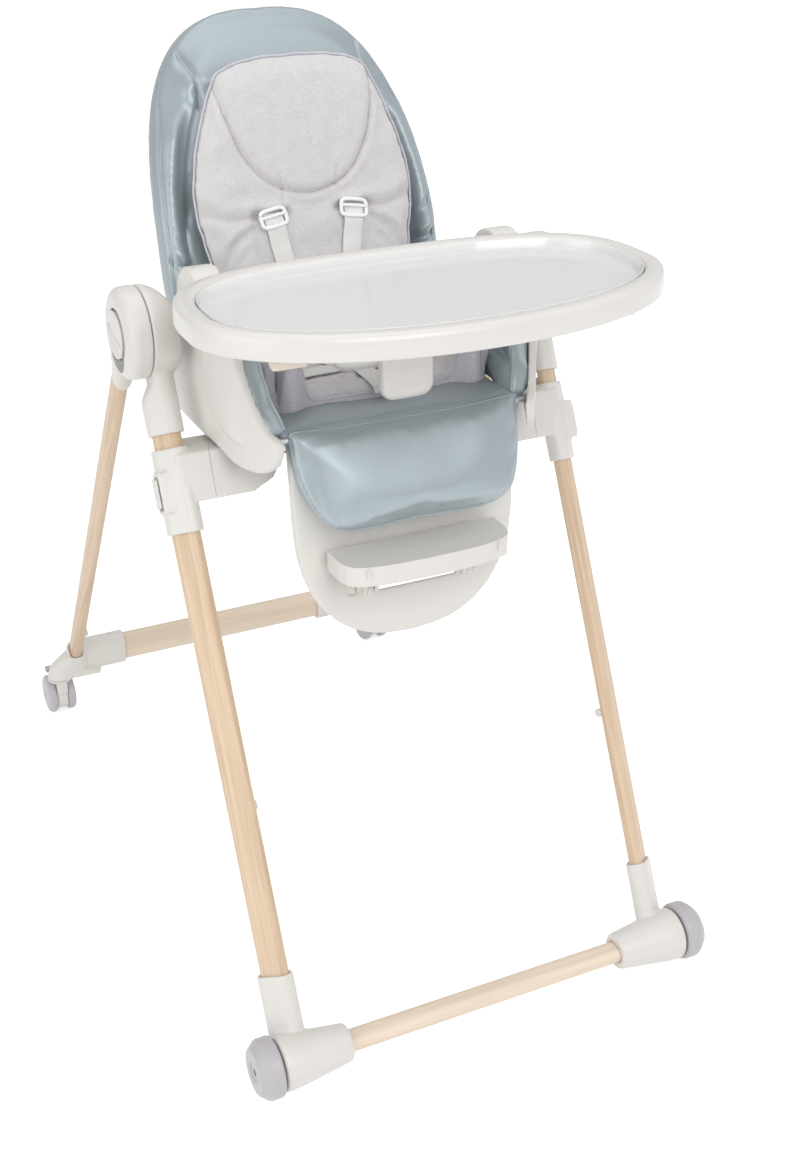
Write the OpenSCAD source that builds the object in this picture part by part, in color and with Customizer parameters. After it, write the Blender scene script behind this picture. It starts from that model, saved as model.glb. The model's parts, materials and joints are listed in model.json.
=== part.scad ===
// Folding baby high chair on a wooden A-frame. Millimetres, +Z up, the child faces -Y.
// The origin lies on the floor, in the middle of the chair's width and depth.

/* [Frame] */
// Height of the hub axis above the floor
hub_h = 760; // [740:5:780]
// Distance of each front leg's axis from the middle
leg_x = 238; // [236:1:240]
// Lean of the front legs from upright, in degrees
front_lean = 26; // [25:0.5:27]
// Lean of the rear legs from upright, in degrees
rear_lean = 37.6; // [36:0.2:39]
// Distance of each rear leg's axis from the middle, at the hub
rear_leg_x = 258; // [257:0.5:259]
// Inward slant of the rear legs, in degrees
rear_slant = 1.5; // [1.2:0.1:1.8]
// Long side of a front leg's oval section
leg_long = 34; // [32:1:35]
// Short side of a front leg's oval section
leg_thick = 17; // [16:0.5:18]
// Long side of a rear leg's oval section
rear_leg_long = 27; // [25:1:29]
// Short side of a rear leg's oval section
rear_leg_thick = 16; // [15:0.5:16.5]
// Turn of the front legs' oval about the leg, in degrees
leg_turn = 45; // [35:5:55]
// Gap between a wooden bar and the socket that holds it
socket_gap = 0.4; // [0.3:0.1:0.6]
// Wall of a plastic socket round a wooden bar
socket_wall = 4; // [3.5:0.5:5]
// Depth that a wooden bar goes into its socket
socket_depth = 30; // [25:1:35]
// Radial clearance between a pin and the bore that turns on it
pin_fit = 0.05; // [0.03:0.01:0.08]

/* [Hubs] */
// Radius of the round hubs
hub_r = 51; // [49:1:52]
// Inner face of each hub, from the middle
hub_in = 209; // [208:0.5:211]
// Outer face of each hub, from the middle
hub_out = 271; // [268:1:273]
// Gap between the fixed and the turning half of a hub
hub_gap = 0.8; // [0.5:0.1:1]
// Radius of the hub's pivot pin
hub_pin_r = 8; // [7:0.5:9]
// Radius of the fold release button
hub_button_r = 28; // [26:1:30]
// Distance from the hub axis to the end of the front leg's socket
front_socket_end = 115; // [113:1:117]
// Distance from the hub axis to the end of the rear leg's socket
rear_socket_end = 97; // [95:1:102]

/* [Front feet] */
// Diameter of the front wheels
front_wheel_d = 69; // [66:1:72]
// Width of the front wheels
front_wheel_w = 27; // [24:1:28]
// Outer face of the front wheels, from the middle
front_wheel_out = 288; // [287:1:290]
// Forward offset of the wheel axle from the leg's own line
axle_forward = 18; // [15:1:20]
// Height at which the wood enters the front foot
front_foot_h = 112; // [108:1:116]
// Half of the front crossbar's visible length
front_bar_half = 175; // [170:1:178]
// Depth of the front crossbar's oval section
front_bar_long = 28; // [26:1:30]
// Height of the front crossbar's oval section
front_bar_thick = 20; // [18:1:22]

/* [Rear feet] */
// Height at which the wood enters the rear foot
rear_foot_h = 102; // [98:1:106]
// Height of the rear crossbar's flat oval section
rear_bar_long = 44; // [40:1:46]
// Thickness of the rear crossbar's flat oval section
rear_bar_thick = 20; // [18:1:22]
// Half of the rear crossbar's visible length
rear_bar_half = 160; // [150:1:168]
// Distance of each caster's swivel axis from the middle
caster_x = 264; // [262:1:266]
// Diameter of the caster wheels
caster_wheel_d = 58; // [54:1:60]
// Width of one caster wheel
caster_wheel_w = 13; // [11:1:14]
// Distance between the middles of a caster's two wheels
caster_track = 30; // [29:1:32]
// Trail of the caster wheels behind the swivel axis
caster_trail = 14; // [12:1:16]

/* [Seat] */
// Half width of the seat between its hinge walls
seat_half = 141; // [138:1:143]
// Drop from the hub axis to the leg rest's hinge
hinge_drop = 90; // [86:1:94]
// Reach of the leg rest's hinge in front of the hub axis
hinge_fwd = 152; // [150:1:154]
// Thickness of the seat cushion
seat_pad_t = 28; // [24:1:30]
// Thickness of the knitted liner on the seat cushion
seat_liner_t = 11; // [9:0.5:12]
// Thickness of the side bolsters
bolster_t = 20; // [17:1:22]
// Height of the liner's side wings above the seat cushion
wing_h = 60; // [50:2:66]
// Thickness of the seat tub's walls
tub_wall = 4; // [3:0.5:5]
// Outer face of the side shells, from the middle
shell_out = 197; // [195:0.5:199]
// Thickness of the side shells
shell_wall = 9; // [8:0.5:10]
// Length of the sleeves that slide on the front legs
slider_len = 94; // [88:1:98]
// Space between a sleeve and the leg that it slides on
slider_gap = 0.6; // [0.5:0.1:0.8]
// Travel of the seat down the front legs
seat_travel = 300; // [280:5:305]

/* [Backrest] */
// Lean of the backrest from upright, in degrees
back_lean = 15; // [12:1:18]
// Half of the backrest's greatest width
back_half = 176; // [172:1:178]
// Height of the backrest along its own plane
back_len = 418; // [400:2:425]
// Thickness of the padded rim round the backrest
back_depth = 28; // [25:1:30]
// How far the top of the backrest sweeps back
back_sweep = 64; // [58:1:68]
// Thickness of the backrest's knitted liner
liner_t = 36; // [30:1:38]
// Thickness of the backrest's rear shell
back_shell_t = 8; // [7:0.5:10]

/* [Leg rest] */
// Lean of the leg rest, bottom forward, in degrees
leg_rest_lean = 6; // [4:1:8]
// Distance of the leg rest panel's edges inside the seat's hinge walls
panel_inset = 6.5; // [5:0.5:8]
// Length of the leg rest panel below its hinge
panel_len = 250; // [246:1:254]
// Thickness of the leg rest panel
panel_t = 4; // [3:0.5:5]
// Length of the calf cushion below the hinge
calf_len = 118; // [112:1:120]
// Thickness of the calf cushion
calf_t = 30; // [26:1:31]
// Half width of the footstep
step_half = 103; // [98:1:106]
// Depth of the footstep
step_depth = 64; // [58:1:66]

/* [Tray] */
// Half width of the tray
tray_half = 261; // [255:1:264]
// Depth of the tray in front of its widest line
tray_front = 138; // [132:1:142]
// Depth of the tray behind its widest line
tray_back = 150; // [144:1:152]
// Height of the tray's rim
tray_rim_h = 26; // [25:1:28]
// Width of the tray's rim
tray_rim_w = 22; // [18:1:24]
// Depth of the tray's basin below its rim
tray_basin = 14; // [12:1:16]

/* [Hidden] */

$fn = 64;
LEFT = -1;
RIGHT = 1;
WHITE = "#f2f0ec";
WOOD = "#e6cda6";
GREY = "#bcbcc2";
BLUE = "#9fb0b7";
JERSEY = "#cfccce";
STEEL = "#b9bcc0";
CREAM = "#ece2d6";
CLEAR = "#eef1f2";
WEB = "#eceae6";
eps = 0.02;

// Places that follow from the driving sizes
front_wheel_r = front_wheel_d / 2;
caster_wheel_r = caster_wheel_d / 2;
front_axle_y = -(hub_h - front_wheel_r) * tan(front_lean) - axle_forward;
rear_foot_y = (hub_h - rear_foot_h) * tan(rear_lean);
caster_y = rear_foot_y + 2;
rear_bar_y = rear_foot_y + 6;
rear_bar_z = rear_foot_h - 12;
front_reach = -front_axle_y + front_wheel_r;
rear_reach = caster_y + caster_trail + caster_wheel_r;
hub_y = (front_reach - rear_reach) / 2;
front_leg_end = (hub_h - front_foot_h) / cos(front_lean);
rear_leg_end = (hub_h - rear_foot_h) / cos(rear_lean);
split_x = rear_leg_x - rear_leg_thick / 2 - socket_wall - 1.2;
slider_top = front_socket_end + 15;
stop_r = 5;
stop_at = slider_top + slider_len + seat_travel + 4 + stop_r;
hinge_z = -hinge_drop;
hinge_y = -hinge_fwd;

// Places of the seat's pieces, measured from the hub axis
seat_top = hinge_z + 6;
tub_low = seat_top - seat_pad_t - tub_wall;
tub_half = seat_half + 10;
tub_rear = 118;
back_y = 105;
pedal_lug = 6;
pedal_y = 23;
pedal_z = 58.5;
pedal_r = 4;
pedal_pin_r = 1.6;
shell_arc = 215;
shell_arc_y = -39;
shell_low = tub_low + 7;
tip_bore = 160;
arm_in = shell_out - 32;
arm_low = 14;
arm_top = 40;
arm_bump = -66;
rail_x = shell_out - 16;
bracket_in = 118;
lever_out = 22;
lever_len = 36;
lever_crown = 14;
liner_top = seat_top + 0.3 + seat_liner_t;
bolster_in = seat_half - 3;
seat_liner_half = bolster_in - 2;
wing_in = seat_half - 16.5;
seat_liner_front = hinge_y + 12;
seat_liner_rear = back_y - 55;
stop_reach = 17.5;
neck_flare = 57;
tray_wall = 3.2;
back_z = -95;
back_rear = 4;
back_front = back_rear - 0.3 - back_depth;
back_face = back_front + 15;
liner_front = back_face - 0.3 - liner_t;
sweep_from = 150;
back_top = back_len - 12;
back_mid = 100;
back_foot = -8;
head_top = 366;
lug_x = 118;
handle_s = 140;
handle_y = back_rear + 5.4;
handle_pin_r = 2.2;
handle_pin_half = 56;
liner_half = back_half - 35;
liner_mid = 190;
liner_top_s = 356;
liner_foot_half = 118;
strap_x = 51;
strap_top = 184;
strap_w = 24;
strap_len = 150;
strap_slant = 6;
panel_half = seat_half - panel_inset;
panel_y = 3;
panel_rim = 12;
panel_straight = 93;
panel_drop = 10;
roll_r = 9.5;
tub_front = hinge_y + 26;
step_pivot_y = -20;
step_pivot_z = -178;
step_top = 46;
step_back = 18;
step_skirt = 23;
step_arm_x = 62;
slot_half = 78;
slot_low = -193;
slot_top = -152;
latch_front = -72;
latch_in = rail_x - 14;
latch_out = rail_x + 20;
tray_y = -222;
tray_z = 82;
post_y = -157;
post_low = -62;
channel_front = 20;
channel_back = 124;

// ---------------------------------------------------------------- shared shapes

// Oval section: two half circles joined by a straight band, the long side along X.
module oval(long, thick) {
    straight = long - thick;
    translate([straight / 2, 0]) circle(d = thick);
    translate([-straight / 2, 0]) circle(d = thick);
    square([straight, thick], center = true);
}

// Frame whose +Z runs down a front leg from the hub axis.
module down_front_leg(side) {
    translate([side * leg_x, hub_y, hub_h]) rotate([180 - front_lean, 0, 0]) children();
}

// Frame whose +Z runs down a rear leg from the hub axis.
module down_rear_leg(side) {
    translate([side * rear_leg_x, hub_y, hub_h])
        rotate([180 + rear_lean, 0, 0]) rotate([0, -side * rear_slant, 0]) children();
}

// Oval of a front leg in the leg's own frame, grown by a margin all round.
module front_leg_oval(side, grow = 0) {
    rotate(-side * leg_turn) oval(leg_long + 2 * grow, leg_thick + 2 * grow);
}

// Oval of a rear leg, its long side in the fold's plane, grown by a margin all round.
module rear_leg_oval(grow = 0) {
    rotate(90) oval(rear_leg_long + 2 * grow, rear_leg_thick + 2 * grow);
}

// Frame at the hub axis, which the seat's sizes are measured from.
module at_hub() {
    translate([0, hub_y, hub_h]) children();
}

// Disc round the X axis from one distance to another on one side.
module side_disc(side, from, to, r) {
    translate([side * from, 0, 0]) rotate([0, side * 90, 0]) cylinder(r = r, h = to - from);
}

// Turned shape round the X axis: points are [radius, distance from the middle].
module side_turned(side, points) {
    rotate([0, side * 90, 0]) rotate_extrude() polygon(points);
}

// ---------------------------------------------------------------- front frame

module front_leg(side) {
    start = front_socket_end - socket_depth;
    color(WOOD) down_front_leg(side) difference() {
        translate([0, 0, start]) linear_extrude(front_leg_end + socket_depth - start) front_leg_oval(side);
        translate([0, 0, stop_at]) rotate([0, -side * 90, 0])
            cylinder(r = stop_r + pin_fit, h = leg_long);
    }
}

// Foot casting: a turned body along the crossbar with a leg socket standing on it.
module front_foot(side) {
    body_out = front_wheel_out - front_wheel_w - 2;
    body_r = front_wheel_r - 3.5;
    sleeve = 84;
    color(WHITE) difference() {
        union() {
            translate([0, hub_y + front_axle_y, front_wheel_r]) {
                side_turned(side, [
                    [0, front_bar_half], [20, front_bar_half], [22, front_bar_half + 3],
                    [body_r - 1, body_out - 22], [body_r, body_out - 10], [body_r, body_out - 1.5],
                    [body_r - 1.5, body_out], [0, body_out]
                ]);
            }
            down_front_leg(side) translate([0, 0, front_leg_end])
                linear_extrude(sleeve) front_leg_oval(side, socket_wall + socket_gap);
        }
        down_front_leg(side) translate([0, 0, front_leg_end - eps])
            linear_extrude(socket_depth + 1) front_leg_oval(side, socket_gap);
        translate([side * (front_bar_half - eps), hub_y + front_axle_y, front_wheel_r])
            rotate([0, side * 90, 0]) linear_extrude(socket_depth + 1) rotate(90)
                oval(front_bar_long + 2 * socket_gap, front_bar_thick + 2 * socket_gap);
        translate([0, hub_y + front_axle_y, front_wheel_r])
            side_disc(side, body_out - 16, body_out + 1, 4 + pin_fit);
    }
}

module front_crossbar() {
    half = front_bar_half + socket_depth;
    color(WOOD) translate([-half, hub_y + front_axle_y, front_wheel_r])
        rotate([0, 90, 0]) linear_extrude(2 * half) rotate(90) oval(front_bar_long, front_bar_thick);
}

// Fixed half of a hub: a disc with a neck that flares past the turning half into the front leg's socket.
module front_hub(side) {
    face = split_x - hub_gap;
    neck_end = front_socket_end - socket_depth - 3;
    color(WHITE) difference() {
        union() {
            at_hub() rotate([135, 0, 0]) side_turned(side, [
                [0, hub_in], [hub_r - 12, hub_in], [hub_r - 5, hub_in + 3], [hub_r - 1, hub_in + 9],
                [hub_r, hub_in + 16], [hub_r, face], [0, face]
            ]);
            intersection() {
                down_front_leg(side) translate([0, 0, 20]) linear_extrude(front_socket_end - 20)
                    front_leg_oval(side, socket_wall + socket_gap);
                down_front_leg(side) translate([0, hub_r, 0]) rotate([90, 0, 0])
                    linear_extrude(2 * hub_r) polygon([
                        [-side * 40, 0], [side * (face - leg_x), 0], [side * (face - leg_x), neck_flare],
                        [side * 22, neck_end], [side * 22, 200], [-side * 40, 200]
                    ]);
            }
        }
        down_front_leg(side) translate([0, 0, front_socket_end - socket_depth - 1])
            linear_extrude(socket_depth + 2) front_leg_oval(side, socket_gap);
        at_hub() side_disc(side, hub_in + 6, face + 1, hub_pin_r + pin_fit);
    }
}

module hub_pivot_pins() {
    color(STEEL) for (side = [LEFT, RIGHT])
        at_hub() side_disc(side, hub_in + 6.2, hub_out - 12, hub_pin_r);
}

module front_axles() {
    color(STEEL) for (side = [LEFT, RIGHT])
        translate([0, hub_y + front_axle_y, front_wheel_r])
            side_disc(side, front_wheel_out - front_wheel_w - 17, front_wheel_out - 6, 4);
}

// Pegs that end the seat's travel, on the inner side of the front legs.
module leg_stops() {
    color(WHITE) for (side = [LEFT, RIGHT])
        down_front_leg(side) translate([-side * eps, 0, stop_at])
            rotate([0, -side * 90, 0]) cylinder(r = stop_r, h = stop_reach);
}

// Wheel with a rounded tread, a shallow dished face and a bore for its axle.
module front_wheel(side) {
    inner = front_wheel_out - front_wheel_w;
    r = front_wheel_r;
    color(GREY) translate([0, hub_y + front_axle_y, front_wheel_r]) difference() {
        side_turned(side, [
            [4 + pin_fit, inner], [r - 4, inner], [r - 1, inner + 1.5], [r, inner + 4],
            [r, inner + 15], [r - 1.5, inner + 18.5], [r - 8, front_wheel_out - 1], [r - 10, front_wheel_out],
            [13, front_wheel_out], [11, front_wheel_out - 1.5], [4 + pin_fit, front_wheel_out - 1.5]
        ]);
        side_disc(side, inner - 1, inner + 3, 12);
    }
}

// ---------------------------------------------------------------- rear frame

module rear_leg(side) {
    start = rear_socket_end - socket_depth;
    color(WOOD) down_rear_leg(side) translate([0, 0, start])
        linear_extrude(rear_leg_end + socket_depth - start) rear_leg_oval();
}

// Turning half of a hub: a puck with a recess for the button and a socket for the rear leg.
module rear_hub(side) {
    color(WHITE) difference() {
        union() {
            at_hub() side_turned(side, [
                [0, split_x], [hub_r, split_x], [hub_r, hub_out - 12], [hub_r - 1.2, hub_out - 7],
                [hub_r - 4.5, hub_out - 3], [hub_r - 10, hub_out - 0.6], [hub_r - 16, hub_out], [0, hub_out]
            ]);
            intersection() {
                down_rear_leg(side) translate([0, 0, 20])
                    linear_extrude(rear_socket_end - 20) rear_leg_oval(socket_wall + socket_gap);
                translate([side * (split_x + 50), hub_y, hub_h]) cube([100, 400, 400], center = true);
            }
        }
        down_rear_leg(side) translate([0, 0, rear_socket_end - socket_depth - 1])
            linear_extrude(socket_depth + 2) rear_leg_oval(socket_gap);
        at_hub() side_disc(side, split_x - 1, hub_out - 11.5, hub_pin_r + pin_fit);
        at_hub() side_disc(side, hub_out - 8, hub_out + 1, hub_button_r + 0.4);
    }
}

// Round push button with a diagonal crease and a finger scoop at its lower edge.
module hub_button(side) {
    color(WHITE) at_hub() difference() {
        side_turned(side, [
            [0, hub_out - 4], [hub_button_r, hub_out - 4], [hub_button_r, hub_out + 0.5],
            [hub_button_r - 1.5, hub_out + 2], [0, hub_out + 2.6]
        ]);
        translate([side * (hub_out + 9), 6, -26]) rotate([35, 0, 0]) rotate([0, side * -14, 0])
            cube([14, 90, 40], center = true);
    }
}

// Rear foot casting: leg socket, crossbar socket and a slanted housing over the caster's stem.
module rear_foot(side) {
    foot_x = rear_leg_x - rear_leg_end * sin(rear_slant);
    grow = 2 * socket_wall + 1;
    color(WHITE) difference() {
        union() {
            down_rear_leg(side) translate([0, 0, rear_leg_end - 2])
                linear_extrude(36) rear_leg_oval(socket_wall + socket_gap);
            translate([side * rear_bar_half, hub_y + rear_bar_y, rear_bar_z]) rotate([0, side * 90, 0])
                linear_extrude(foot_x - rear_bar_half) oval(rear_bar_long + grow, rear_bar_thick + grow);
            hull() {
                translate([side * caster_x, hub_y + caster_y, 63]) cylinder(r1 = 18.5, r2 = 12, h = 20, $fn = 32);
                translate([side * foot_x, hub_y + rear_bar_y - 4, 66]) cylinder(r = 18, h = 32, $fn = 32);
            }
            hull() {
                translate([side * (foot_x - 2), hub_y + rear_bar_y - 6, 60]) cylinder(r = 15, h = 12, $fn = 32);
                translate([side * (foot_x - 26), hub_y + rear_bar_y - 12, 62]) cylinder(r = 9, h = 8, $fn = 32);
            }
        }
        down_rear_leg(side) translate([0, 0, rear_leg_end - 30])
            linear_extrude(socket_depth + 31) rear_leg_oval(socket_gap);
        translate([side * (rear_bar_half - eps), hub_y + rear_bar_y, rear_bar_z]) rotate([0, side * 90, 0])
            linear_extrude(socket_depth + 1)
                oval(rear_bar_long + 2 * socket_gap, rear_bar_thick + 2 * socket_gap);
        translate([side * caster_x, hub_y + caster_y, 60]) cylinder(r = 5 + pin_fit, h = 20);
        translate([side * caster_x, hub_y + caster_y, 50]) cylinder(r = 58, h = 13);
    }
}

module rear_crossbar() {
    half = rear_bar_half + socket_depth;
    color(WOOD) translate([-half, hub_y + rear_bar_y, rear_bar_z]) rotate([0, 90, 0])
        linear_extrude(2 * half) oval(rear_bar_long, rear_bar_thick);
}

// Small bumpers on the inner side of the rear legs.
module leg_bumpers() {
    color(WHITE) for (side = [LEFT, RIGHT])
        down_rear_leg(side) translate([-side * rear_leg_thick / 2, 0, rear_leg_end - 60])
            rotate([0, -side * 90, 0]) cylinder(r1 = 6.5, r2 = 5, h = 6);
}

// ---------------------------------------------------------------- casters

module at_caster(side) {
    translate([side * caster_x, hub_y + caster_y, 0]) children();
}

// Hood between the two wheels, with the swivel stem on top and a lug for the pedal behind.
module caster_fork(side) {
    web = caster_track - caster_wheel_w - 1;
    color(WHITE) at_caster(side) difference() {
        union() {
            translate([0, 0, 59]) cylinder(r = 18, h = 3.5);
            translate([0, 0, 60]) cylinder(r = 5, h = 19);
            intersection() {
                translate([-web / 2, caster_trail, caster_wheel_r]) rotate([0, 90, 0])
                    cylinder(r = 26, h = web);
                translate([-web / 2, -30, 12]) cube([web, 80, 50]);
            }
            translate([-web / 2, -14, 40]) cube([web, 28, 20]);
            translate([-pedal_lug / 2, 0, 0]) rotate([90, 0, 90]) linear_extrude(pedal_lug) union() {
                translate([pedal_y, pedal_z]) circle(r = pedal_r);
                span([pedal_y - pedal_r, 46], [pedal_y + pedal_r, pedal_z]);
            }
        }
        translate([-web, caster_trail, caster_wheel_r]) rotate([0, 90, 0]) cylinder(r = 3, h = 2 * web);
        translate([-pedal_lug, pedal_y, pedal_z]) rotate([0, 90, 0])
            cylinder(r = pedal_pin_r + pin_fit, h = 2 * pedal_lug);
    }
}

module caster_axle(side) {
    half = caster_track / 2 + caster_wheel_w / 2 - 2;
    color(STEEL) at_caster(side) translate([-half, caster_trail, caster_wheel_r])
        rotate([0, 90, 0]) cylinder(r = 3 - eps, h = 2 * half);
}

// The two wheels of one caster, each with a domed outer face.
module caster_wheels(side) {
    r = caster_wheel_r;
    w = caster_wheel_w;
    color(GREY) at_caster(side) translate([0, caster_trail, r])
        for (end = [-1, 1])
            translate([end * (caster_track - w) / 2, 0, 0]) rotate([0, end * 90, 0]) rotate_extrude()
                polygon([
                    [3 + pin_fit, 0.5], [r - 2, 0], [r, 2.5], [r, w - 5], [r - 2.5, w - 2], [r - 9, w - 0.4],
                    [8, w], [3 + pin_fit, w]
                ]);
}

// Foot pedal that locks a caster: two arms round the fork's lug, a pin and a tread.
module brake_pedal(side) {
    arm = 3;
    inner = pedal_lug / 2 + 0.3;
    color(GREY) at_caster(side) translate([0, pedal_y, pedal_z]) union() {
        for (end = [-1, 1]) translate([end > 0 ? inner : -inner - arm, 0, 0]) rotate([90, 0, 90])
            linear_extrude(arm) union() {
                circle(r = pedal_r - 0.4);
                span([0, -3], [9, 3]);
            }
        translate([-inner - 1, 0, 0]) rotate([0, 90, 0]) cylinder(r = pedal_pin_r, h = 2 * inner + 2);
        translate([0, 0, -3]) linear_extrude(6) round_span([-13, 8], [13, 19.5], 4);
    }
}

// ---------------------------------------------------------------- seat

// Plate in the fold's plane: children are drawn as [Y, Z] and reach from one X to another on one side.
module side_plate(side, from, to) {
    translate([side > 0 ? from : -to, 0, 0]) rotate([90, 0, 90]) linear_extrude(to - from) children();
}

// Plate across the chair: children are drawn as [Y, Z] and reach equally far to both sides.
module cross_plate(half) {
    translate([-half, 0, 0]) rotate([90, 0, 90]) linear_extrude(2 * half) children();
}

// Rectangle between two corners.
module span(a, b) {
    translate([min(a.x, b.x), min(a.y, b.y)]) square([abs(b.x - a.x), abs(b.y - a.y)]);
}

// Rectangle between two corners with round corners.
module round_span(a, b, r) {
    offset(r) offset(-r) span(a, b);
}

// Points of a cubic curve without its last point.
function curve(p0, p1, p2, p3, n = 8) = [
    for (i = [0 : n - 1]) let (t = i / n, u = 1 - t)
        u * u * u * p0 + 3 * u * u * t * p1 + 3 * u * t * t * p2 + t * t * t * p3
];

// Plan of the space inside the side shells, inset by a margin: straight sides with curved front ends.
module shell_plan(side, inset) {
    r = shell_arc - inset;
    intersection() {
        union() {
            translate([side * (shell_out - shell_arc), shell_arc_y]) circle(r = r, $fn = 128);
            span([side * 20, shell_arc_y], [side * (shell_out - inset), 160]);
        }
        span([side * 60, -220], [side * 260, 160]);
    }
}

// Points of a side shell's swept front edge, moved back by an inset.
function shell_front(inset) =
    curve([inset - 148, -70], [inset - 134, -48], [inset - 126, -20], [inset - 116, arm_low], 6);

// Side view of a side shell: a boat-shaped lower edge, a swept front edge and a falling rear edge.
module shell_outline() {
    polygon(concat(
        curve([112, shell_low + 4], [60, shell_low], [0, shell_low], [-60, shell_low], 4),
        curve([-60, shell_low], [-95, shell_low], [-100, shell_low - 18], [-135, shell_low - 18]),
        curve([-135, shell_low - 18], [-160, shell_low - 18], [hinge_y - 15, hinge_z - 20],
            [hinge_y - 15, hinge_z]),
        curve([hinge_y - 15, hinge_z], [hinge_y - 14, hinge_z + 6], [-156, hinge_z + 8], [-148, -70], 5),
        shell_front(0),
        [[-116, arm_low + 8], [14, arm_low + 8]],
        curve([14, arm_low], [30, 0], [60, -20], [84, -48], 6),
        curve([84, -48], [100, -66], [108, -80], [112, shell_low + 4], 4)
    ));
}

// Sleeve round the front leg with a deep bracket that reaches in under the seat tub.
module slider(side) {
    low = tub_low - 50;
    pocket = lever_len + 0.8;
    mid = slider_top + slider_len / 2;
    color(WHITE) difference() {
        union() {
            down_front_leg(side) translate([0, 0, slider_top])
                linear_extrude(slider_len) front_leg_oval(side, socket_wall + slider_gap);
            intersection() {
                at_hub() side_plate(side, bracket_in, leg_x) polygon([
                    [tub_low * tan(front_lean) - 24, tub_low], [tub_low * tan(front_lean) + 22, tub_low],
                    [low * tan(front_lean) + 17, low], [low * tan(front_lean) - 19, low]
                ]);
                at_hub() translate([0, 50, 0]) rotate([90, 0, 0]) linear_extrude(260) polygon([
                    [side * bracket_in, tub_low + 1], [side * (leg_x + 1), tub_low + 1],
                    [side * (leg_x + 1), low - 1], [side * (bracket_in + 40), low - 1],
                    [side * (bracket_in + 14), low + 10], [side * bracket_in, low + 30]
                ]);
            }
            down_front_leg(side) translate([side * (lever_out - 8), 0, mid])
                cube([16, 22, lever_len + 9], center = true);
        }
        down_front_leg(side) translate([0, 0, slider_top - 60])
            linear_extrude(slider_len + 110) front_leg_oval(side, slider_gap);
        down_front_leg(side) translate([side * (lever_out - 2.5), 0, mid]) cube([5.2, 16, pocket], center = true);
    }
}

// Squeeze lever that unlocks the height, set in the outer face of its sleeve.
module slider_button(side) {
    mid = slider_top + slider_len / 2;
    color(WHITE) down_front_leg(side) translate([side * (lever_out + 1.2), 0, mid]) difference() {
        intersection() {
            cube([5, 15.2, lever_len], center = true);
            translate([side * (2.5 - lever_crown), 0, 0]) cylinder(r = lever_crown, h = lever_len, center = true);
        }
        translate([side * 1.7, 0, lever_len / 2 - 8]) rotate([0, side * 90, 0]) cylinder(r = 1.5, h = 5);
    }
}

// Tub under the seat cushion: a ribbed floor and two side walls with bores for the backrest's rod.
module seat_base() {
    wall_in = tub_half - tub_wall;
    color(WHITE) at_hub() difference() {
        union() {
            translate([0, 0, tub_low]) linear_extrude(tub_wall) intersection() {
                span([-tub_half, tub_front], [tub_half, tub_rear]);
                union() {
                    shell_plan(LEFT, shell_wall + 0.5);
                    shell_plan(RIGHT, shell_wall + 0.5);
                    span([-80, tub_front], [80, tub_rear]);
                }
            }
            for (side = [LEFT, RIGHT]) side_plate(side, wall_in, tub_half) polygon([
                [tub_front, tub_low], [tub_rear, tub_low], [tub_rear, back_z - 6], [tub_rear - 4, back_z + 8],
                [back_y + 2, back_z + 14], [back_y - 12, back_z + 12], [60, tub_low + 22], [tub_front - 12, tub_low + 18], [tub_front - 12, tub_low + 8]
            ]);
            for (x = [-60, 0, 60]) translate([x - 1.5, tub_front + 4, tub_low - 8]) cube([3, 220, 8.5]);
        }
        translate([-tub_half - 1, back_y, back_z]) rotate([0, 90, 0])
            cylinder(r = 4 + pin_fit, h = 2 * tub_half + 2);
    }
}

// Side shell: a curved wall with a hinge boss at its front tip, mounting posts and the armrest on top.
module side_shell(side) {
    color(WHITE) at_hub() difference() {
        union() {
            intersection() {
                translate([0, 0, -150]) linear_extrude(220) difference() {
                    shell_plan(side, 0);
                    shell_plan(side, shell_wall);
                }
                side_plate(side, 100, 220) shell_outline();
            }
            for (y = [-100, -20, 60]) translate([0, y, tub_low + 13])
                side_disc(side, tub_half + 0.05, y < -60 ? 180 : shell_out - 4, 7);
            translate([0, hinge_y, hinge_z]) side_disc(side, tub_half + 0.5, 157, 9);
            side_plate(side, arm_in, shell_out) round_span([-150, arm_low], [14, arm_top], 10);
            side_plate(side, arm_in, shell_out) intersection() {
                round_span([arm_bump, arm_top - 56], [14, arm_top + 24], 38);
                span([arm_bump - 1, arm_top - 14], [20, arm_top + 30]);
            }
            side_plate(side, rail_x - 6, rail_x + 6) span([-146, arm_top - 1], [arm_bump - 4, arm_top + 7]);
        }
        translate([0, hinge_y, hinge_z]) side_disc(side, 120, tip_bore, 4 + pin_fit);
    }
}

module seat_pad() {
    color(BLUE) at_hub() cross_plate(seat_half - 4) union() {
        span([hinge_y + 22, tub_low + tub_wall + 0.3], [back_y - 48, seat_top]);
        translate([hinge_y + 24, seat_top - 11]) intersection() {
            circle(r = 11);
            span([-12, -10.5], [2, 12]);
        }
    }
}

// Plan of a layer that lies against the inside of a side shell.
module shell_lining(side, t) {
    difference() {
        shell_plan(side, shell_wall + 0.5);
        shell_plan(side, shell_wall + 0.5 + t);
    }
}

// Cushion that lines a side shell up to its front edge and fills the seat's corner with a thick foot.
module side_bolster(side) {
    low = seat_top + 0.3;
    high = arm_low - 0.5;
    foot = 26;
    rear = back_y - 49;
    color(BLUE) at_hub() intersection() {
        translate([0, 0, low]) union() {
            linear_extrude(high - low) shell_lining(side, bolster_t);
            linear_extrude(foot) shell_lining(side, shell_out - bolster_in);
        }
        side_plate(side, bolster_in, shell_out) polygon(concat(
            [[hinge_y + 14, low], [hinge_y + 8, -74]], shell_front(5), [[-111, arm_low]],
            [[rear - 16, arm_low], [rear - 3, 4], [rear, -10], [rear, low]]
        ));
    }
}

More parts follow.
